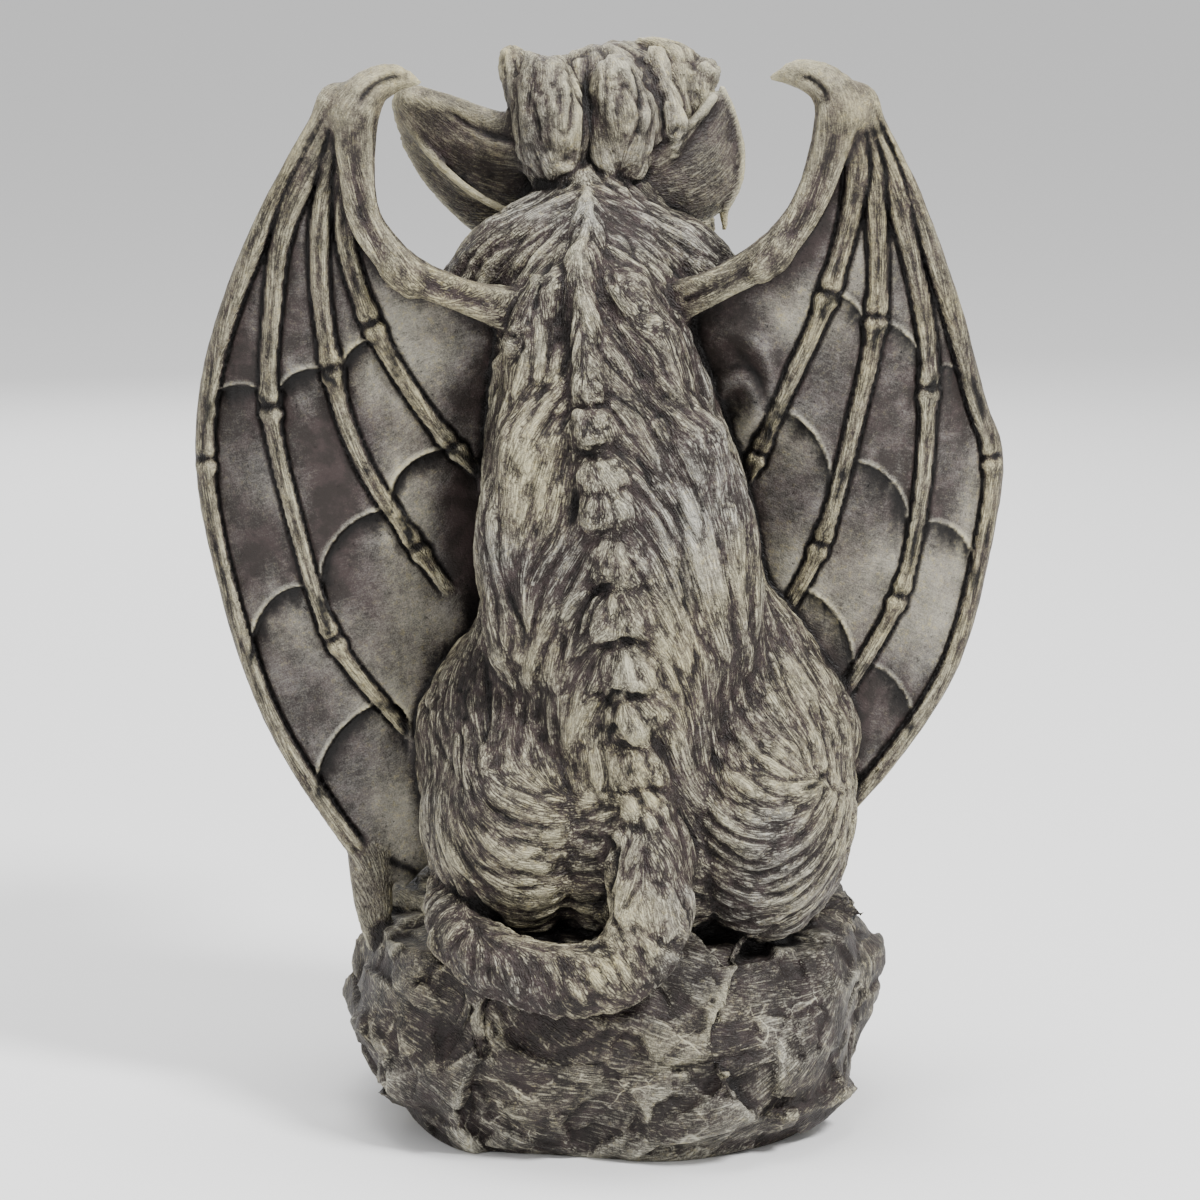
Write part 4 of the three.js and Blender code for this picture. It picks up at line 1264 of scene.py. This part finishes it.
# Painted shade: darkening where the space round a point is full (crevices, joins between parts, hollows), in
# lock valleys and creases, in the DARK gaps and under the wing rims; the pits are real dark pits
dark = weighed(
    (step(close, 0.56, 0.84), 0.9), (step(wide, 0.52, 0.84), 1.1), (sheet["shade"], 0.78),
    (fur * step(locks, 0.30, 0.04) * plain, 0.25),
    (dabs(DARK, px, py) * facing, 0.5),
    (np.clip(crease / 2.0, 0, 1), 0.45),
    (pits * np.clip(pitting + 0.5 * boned, 0, 1) * facing, 0.8),
    (np.clip(-proud, 0, 1), 0.45),
)
silver = weighed((bare, 0.8), (rest, 0.35), (fur * tarnish, 0.55))
yellow = weighed(
    (boned, 0.35), (sheet["rim"], 0.6), (zones[HORN], 0.4), (dabs(YELLOW, px, py) * facing, 0.5),
    (worn_rim, 0.8), (step(patch, 0.45, 0.65), 0.4),
)
pale, dark = relax(faces, np.clip(pale, -0.6, 1.2), 1), relax(faces, np.clip(dark, 0, 1.4), 1)

# How strongly the strands show, and how far they are drawn out along the lie
head_rise = step(py, 190, 150) * facing
haired = weighed(
    (fur, 1.0), (boned, 0.75), (bare, 0.10), (rest, 0.55), (zones[SKIN], 0.50), (zones[HORN], 0.4),
) * (1 - 0.45 * head_rise)
comb_strength = weighed(
    (fur, 1.0), (boned, 0.9), (bare, 0.5), (rest, 0.9), (zones[SKIN], 0.6), (zones[HORN], 0.3),
)


# The mesh
def colour_layer(mesh, name, *channels):
    layer = mesh.attributes.new(name, "FLOAT_COLOR", "POINT")
    values = np.ones((len(channels[0]), 4), dtype=np.float32)
    for i, channel in enumerate(channels):
        values[:, i] = np.clip(channel, 0, 1)
    layer.data.foreach_set("color", values.ravel())


def build(name):
    mesh = bpy.data.meshes.new(name)
    mesh.vertices.add(count)
    mesh.vertices.foreach_set("co", (points * MM).astype(np.float32).ravel())
    mesh.loops.add(len(faces) * 3)
    mesh.loops.foreach_set("vertex_index", faces.astype(np.int32).ravel())
    mesh.polygons.add(len(faces))
    mesh.polygons.foreach_set("loop_start", np.arange(0, len(faces) * 3, 3, dtype=np.int32))
    mesh.update(calc_edges=True)
    # This layer carries pale paint, the darkness of painted shade with some dark paint, and the rock share
    colour_layer(mesh, "paint_and_shade", (pale + 0.5) / 1.5, dark, rest)
    colour_layer(mesh, "tone", silver, yellow, haired)
    layer = mesh.attributes.new("flow", "FLOAT_VECTOR", "POINT")
    layer.data.foreach_set("vector", (flow * comb_strength[:, None]).astype(np.float32).ravel())
    whole = bpy.data.objects.new(name, mesh)
    bpy.context.collection.objects.link(whole)
    thin = whole.modifiers.new("thin", "DECIMATE")
    thin.ratio = min(1.0, MOST_TRIANGLES / len(faces))
    graph = bpy.context.evaluated_depsgraph_get()
    lighter = bpy.data.meshes.new_from_object(whole.evaluated_get(graph))
    whole.modifiers.clear()
    whole.data = lighter
    bpy.data.meshes.remove(mesh)
    lighter.name = name
    lighter.polygons.foreach_set("use_smooth", np.ones(len(lighter.polygons), dtype=bool))
    lighter.validate()
    return whole


statue = build("gargoyle_carved")


# Cast stone: near-black umber in the cuts, darkened further by painted shade, dry-brushed cream, silver and
# yellow on what stands proud
class Graph:
    def __init__(self, material):
        material.use_nodes = True
        self.tree = material.node_tree
        self.tree.nodes.clear()

    def node(self, kind, **values):
        made = self.tree.nodes.new(kind)
        for key, value in values.items():
            setattr(made, key, value)
        return made

    def put(self, socket, value):
        if isinstance(value, bpy.types.NodeSocket):
            self.tree.links.new(value, socket)
        else:
            socket.default_value = value

    def math(self, operation, *values, clamp=False):
        made = self.node("ShaderNodeMath", operation=operation, use_clamp=clamp)
        for socket, value in zip(made.inputs, values):
            self.put(socket, value)
        return made.outputs[0]

    def vector(self, operation, a, b=None, scale=None):
        made = self.node("ShaderNodeVectorMath", operation=operation)
        self.put(made.inputs[0], a)
        if b is not None:
            self.put(made.inputs[1], b)
        if scale is not None:
            self.put(made.inputs["Scale"], scale)
        return made.outputs[0]

    def total(self, *pairs):
        """Sum of value times weight."""
        result = 0.0
        for value, weight in pairs:
            result = self.math("MULTIPLY_ADD", value, weight, result)
        return result

    def ease(self, value, low, high):
        made = self.node("ShaderNodeMapRange", interpolation_type="SMOOTHSTEP")
        self.put(made.inputs["Value"], value)
        made.inputs["From Min"].default_value = low
        made.inputs["From Max"].default_value = high
        return made.outputs["Result"]

    def mix(self, share, a, b, blend="MIX"):
        made = self.node("ShaderNodeMix", data_type="RGBA", blend_type=blend)
        self.put(made.inputs["Factor"], share)
        for name, value in (("A", a), ("B", b)):
            socket = next(s for s in made.inputs if s.name == name and s.type == "RGBA")
            self.put(socket, value)
        return next(s for s in made.outputs if s.type == "RGBA")

    def noise(self, where, scale, detail=1.0, roughness=0.5, output="Fac"):
        made = self.node("ShaderNodeTexNoise")
        self.put(made.inputs["Vector"], where)
        for key, value in (("Scale", scale), ("Detail", detail), ("Roughness", roughness)):
            made.inputs[key].default_value = value
        return made.outputs[output]

    def cells(self, where, scale):
        made = self.node("ShaderNodeTexVoronoi", feature="DISTANCE_TO_EDGE")
        self.put(made.inputs["Vector"], where)
        made.inputs["Scale"].default_value = scale
        return made.outputs["Distance"]

    def layer(self, name):
        return self.node("ShaderNodeAttribute", attribute_name=name)


BLACK = (0.005, 0.004, 0.0035, 1)
UMBER = (0.023, 0.0175, 0.0155, 1)
EARTH = (0.040, 0.028, 0.0265, 1)
CREAM = (0.43, 0.405, 0.30, 1)
SILVER = (0.37, 0.368, 0.355, 1)
OCHRE = (0.46, 0.395, 0.20, 1)
# Strands are noise averaged over taps along the lie, in metres
TAPS = 16
STRAND_SPAN = 0.0140
STRAND_SCALE = 860.0
STRAND_GAIN = 10.0
RELIEF_GAIN = 5.0
BUMP_STRENGTH = 0.75
BUMP_DEPTH = 0.0016
SHINE = 0.22


def cast_stone():
    material = bpy.data.materials.new("aged_cast_stone_carved")
    g = Graph(material)
    where = g.node("ShaderNodeTexCoord").outputs["Object"]
    # Pale paint, painted shade with some dark paint, and the rock share; then silver, yellow and strand
    # strength
    paint_and_shade, tone = g.layer("paint_and_shade"), g.layer("tone")
    lie = g.layer("flow").outputs["Vector"]
    paint_and_shade_parts = g.node("ShaderNodeSeparateColor")
    g.put(paint_and_shade_parts.inputs[0], paint_and_shade.outputs["Color"])
    pale_in, dark_in, rock_in = paint_and_shade_parts.outputs
    tone_parts = g.node("ShaderNodeSeparateColor")
    g.put(tone_parts.inputs[0], tone.outputs["Color"])
    silver_in, yellow_in, haired_in = tone_parts.outputs

    # Strands: noise averaged along the lie of the fur
    taps = []
    for tap in range(TAPS):
        reach = (tap / (TAPS - 1) - 0.5) * STRAND_SPAN
        spot = g.vector("ADD", where, g.vector("SCALE", lie, scale=reach))
        taps.append(g.noise(spot, STRAND_SCALE, 0.0))

    def ridges(chosen, gain):
        mean = g.total(*((tap, 1.0 / len(chosen)) for tap in chosen))
        return g.math("MULTIPLY", g.math("ABSOLUTE", g.math("SUBTRACT", mean, 0.5)), gain, clamp=True)

    strand = ridges(taps, STRAND_GAIN)
    # Relief is worked out three times a point, so it takes the middle taps alone
    relief = ridges(taps[TAPS // 2 - 2:TAPS // 2 + 2], RELIEF_GAIN)
    grain = g.noise(where, 1500.0, 2.0, 0.6)
    speck = g.noise(where, 420.0, 3.0, 0.7)
    blot = g.noise(where, 34.0, 3.0, 0.6)
    cloud = g.noise(where, 90.0, 4.0, 0.65)

    # Rock: patches of pale veins along broken edges
    bent = g.vector("ADD", where, g.vector("SCALE", g.noise(where, 60.0, output="Color"), scale=0.02))
    vein = g.ease(g.cells(bent, 80.0), 0.055, 0.0)
    patchy = g.math("MULTIPLY", g.ease(cloud, 0.44, 0.60), g.ease(blot, 0.44, 0.60))
    veins = g.math("MULTIPLY", g.math("MULTIPLY", vein, patchy), rock_in)

    amount = g.total(
        (pale_in, 1.5),
        (g.math("MULTIPLY", g.math("SUBTRACT", strand, 0.45), haired_in), 0.62),
        (g.math("SUBTRACT", grain, 0.5), 0.45), (g.math("SUBTRACT", speck, 0.5), 0.22),
        (g.math("SUBTRACT", blot, 0.5), 0.45), (g.math("SUBTRACT", cloud, 0.5), 0.28), (veins, 0.34),
    )
    brushed = g.mix(rock_in, g.ease(amount, 0.40, 1.25), g.ease(amount, 0.48, 1.20))
    light = g.mix(silver_in, CREAM, SILVER)
    gilt = g.math("MULTIPLY", g.math("ADD", yellow_in, g.ease(speck, 0.5, 0.75)), 0.62)
    light = g.mix(gilt, light, OCHRE)
    deep = g.mix(g.ease(cloud, 0.42, 0.60), UMBER, EARTH)
    deep = g.mix(g.math("MULTIPLY", rock_in, 0.35), deep, BLACK)
    colour = g.mix(brushed, deep, light)
    # Painted shade from the mesh, lessened on specks and deepened in pits, takes the colour towards black
    shade = g.math("SUBTRACT", dark_in, g.math("MULTIPLY", g.math("SUBTRACT", speck, 0.5), 0.5))
    pit = g.ease(speck, 0.36, 0.27)
    shade = g.math("MULTIPLY_ADD", g.math("MULTIPLY", pit, g.ease(blot, 0.46, 0.58)), 0.42, shade)
    colour = g.mix(g.ease(shade, 0.10, 0.90), colour, BLACK)

    combed = g.math("MULTIPLY", relief, haired_in)
    height = g.total((combed, 0.7), (grain, 0.14), (speck, 0.3), (pit, -0.3))
    bump = g.node("ShaderNodeBump")
    bump.inputs["Strength"].default_value = BUMP_STRENGTH
    bump.inputs["Distance"].default_value = BUMP_DEPTH
    g.put(bump.inputs["Height"], height)

    shader = g.node("ShaderNodeBsdfPrincipled")
    g.put(shader.inputs["Base Color"], colour)
    roughness = g.math("MULTIPLY_ADD", brushed, 0.16, 0.46)
    g.put(shader.inputs["Roughness"], g.math("MULTIPLY_ADD", grain, 0.12, roughness))
    shader.inputs["Specular IOR Level"].default_value = SHINE
    g.put(shader.inputs["Normal"], bump.outputs["Normal"])
    output = g.node("ShaderNodeOutputMaterial")
    g.put(output.inputs["Surface"], shader.outputs[0])
    return material


def floor_paper():
    material = bpy.data.materials.new("studio_paper")
    g = Graph(material)
    shader = g.node("ShaderNodeBsdfPrincipled")
    shader.inputs["Base Color"].default_value = (0.86, 0.86, 0.86, 1)
    shader.inputs["Roughness"].default_value = 0.9
    shader.inputs["Specular IOR Level"].default_value = 0.1
    output = g.node("ShaderNodeOutputMaterial")
    g.put(output.inputs["Surface"], shader.outputs[0])
    return material


statue.data.materials.clear()
statue.data.materials.append(cast_stone())
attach(statue, "root")
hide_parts("gargoyle")


# Studio: floor, light and the photograph's camera
def studio():
    mesh = bpy.data.meshes.new("floor")
    half = 40.0
    corners = [(-half, -half, 0), (half, -half, 0), (half, half, 0), (-half, half, 0)]
    mesh.from_pydata(corners, [], [(0, 1, 2, 3)])
    floor = bpy.data.objects.new("floor", mesh)
    bpy.context.collection.objects.link(floor)
    floor.data.materials.append(floor_paper())

    world = bpy.data.worlds.new("studio")
    bpy.context.scene.world = world
    world.use_nodes = True
    background = world.node_tree.nodes["Background"]
    background.inputs["Color"].default_value = (1, 1, 1, 1)
    background.inputs["Strength"].default_value = 0.85

    # Name, place in metres, size and power
    lamps = [
        ("key", (-1.5, 1.5, 2.4), 0.6, 130),
        ("fill", (1.8, 1.9, 1.0), 1.6, 16),
        ("top", (0.2, 0.1, 2.4), 1.4, 44),
        ("front", (0.4, -2.2, 1.3), 1.8, 24),
    ]
    target = np.array([0, 0, 0.24])
    for name, place, size, power in lamps:
        light = bpy.data.lights.new(name, "AREA")
        light.shape = "DISK"
        light.size = size
        light.energy = power
        lamp = bpy.data.objects.new(name, light)
        lamp.location = place
        lamp.rotation_euler = look(np.array(place), target)
        bpy.context.collection.objects.link(lamp)


def look(place, target):
    return Vector(target - place).to_track_quat("-Z", "Y").to_euler()


def camera():
    data = bpy.data.cameras.new("camera")
    data.sensor_width = 36.0
    data.lens = 36.0 * FOCAL / PICTURE
    shot = bpy.data.objects.new("camera", data)
    place = np.array([0.0, REACH * cos(TILT), AIM + REACH * sin(TILT)]) * MM
    shot.location = place
    shot.rotation_euler = look(place, np.array([0, 0, AIM]) * MM)
    data.shift_y = -(PICTURE / 2 - MIDDLE[1]) / PICTURE
    bpy.context.collection.objects.link(shot)
    bpy.context.scene.camera = shot


studio()
camera()
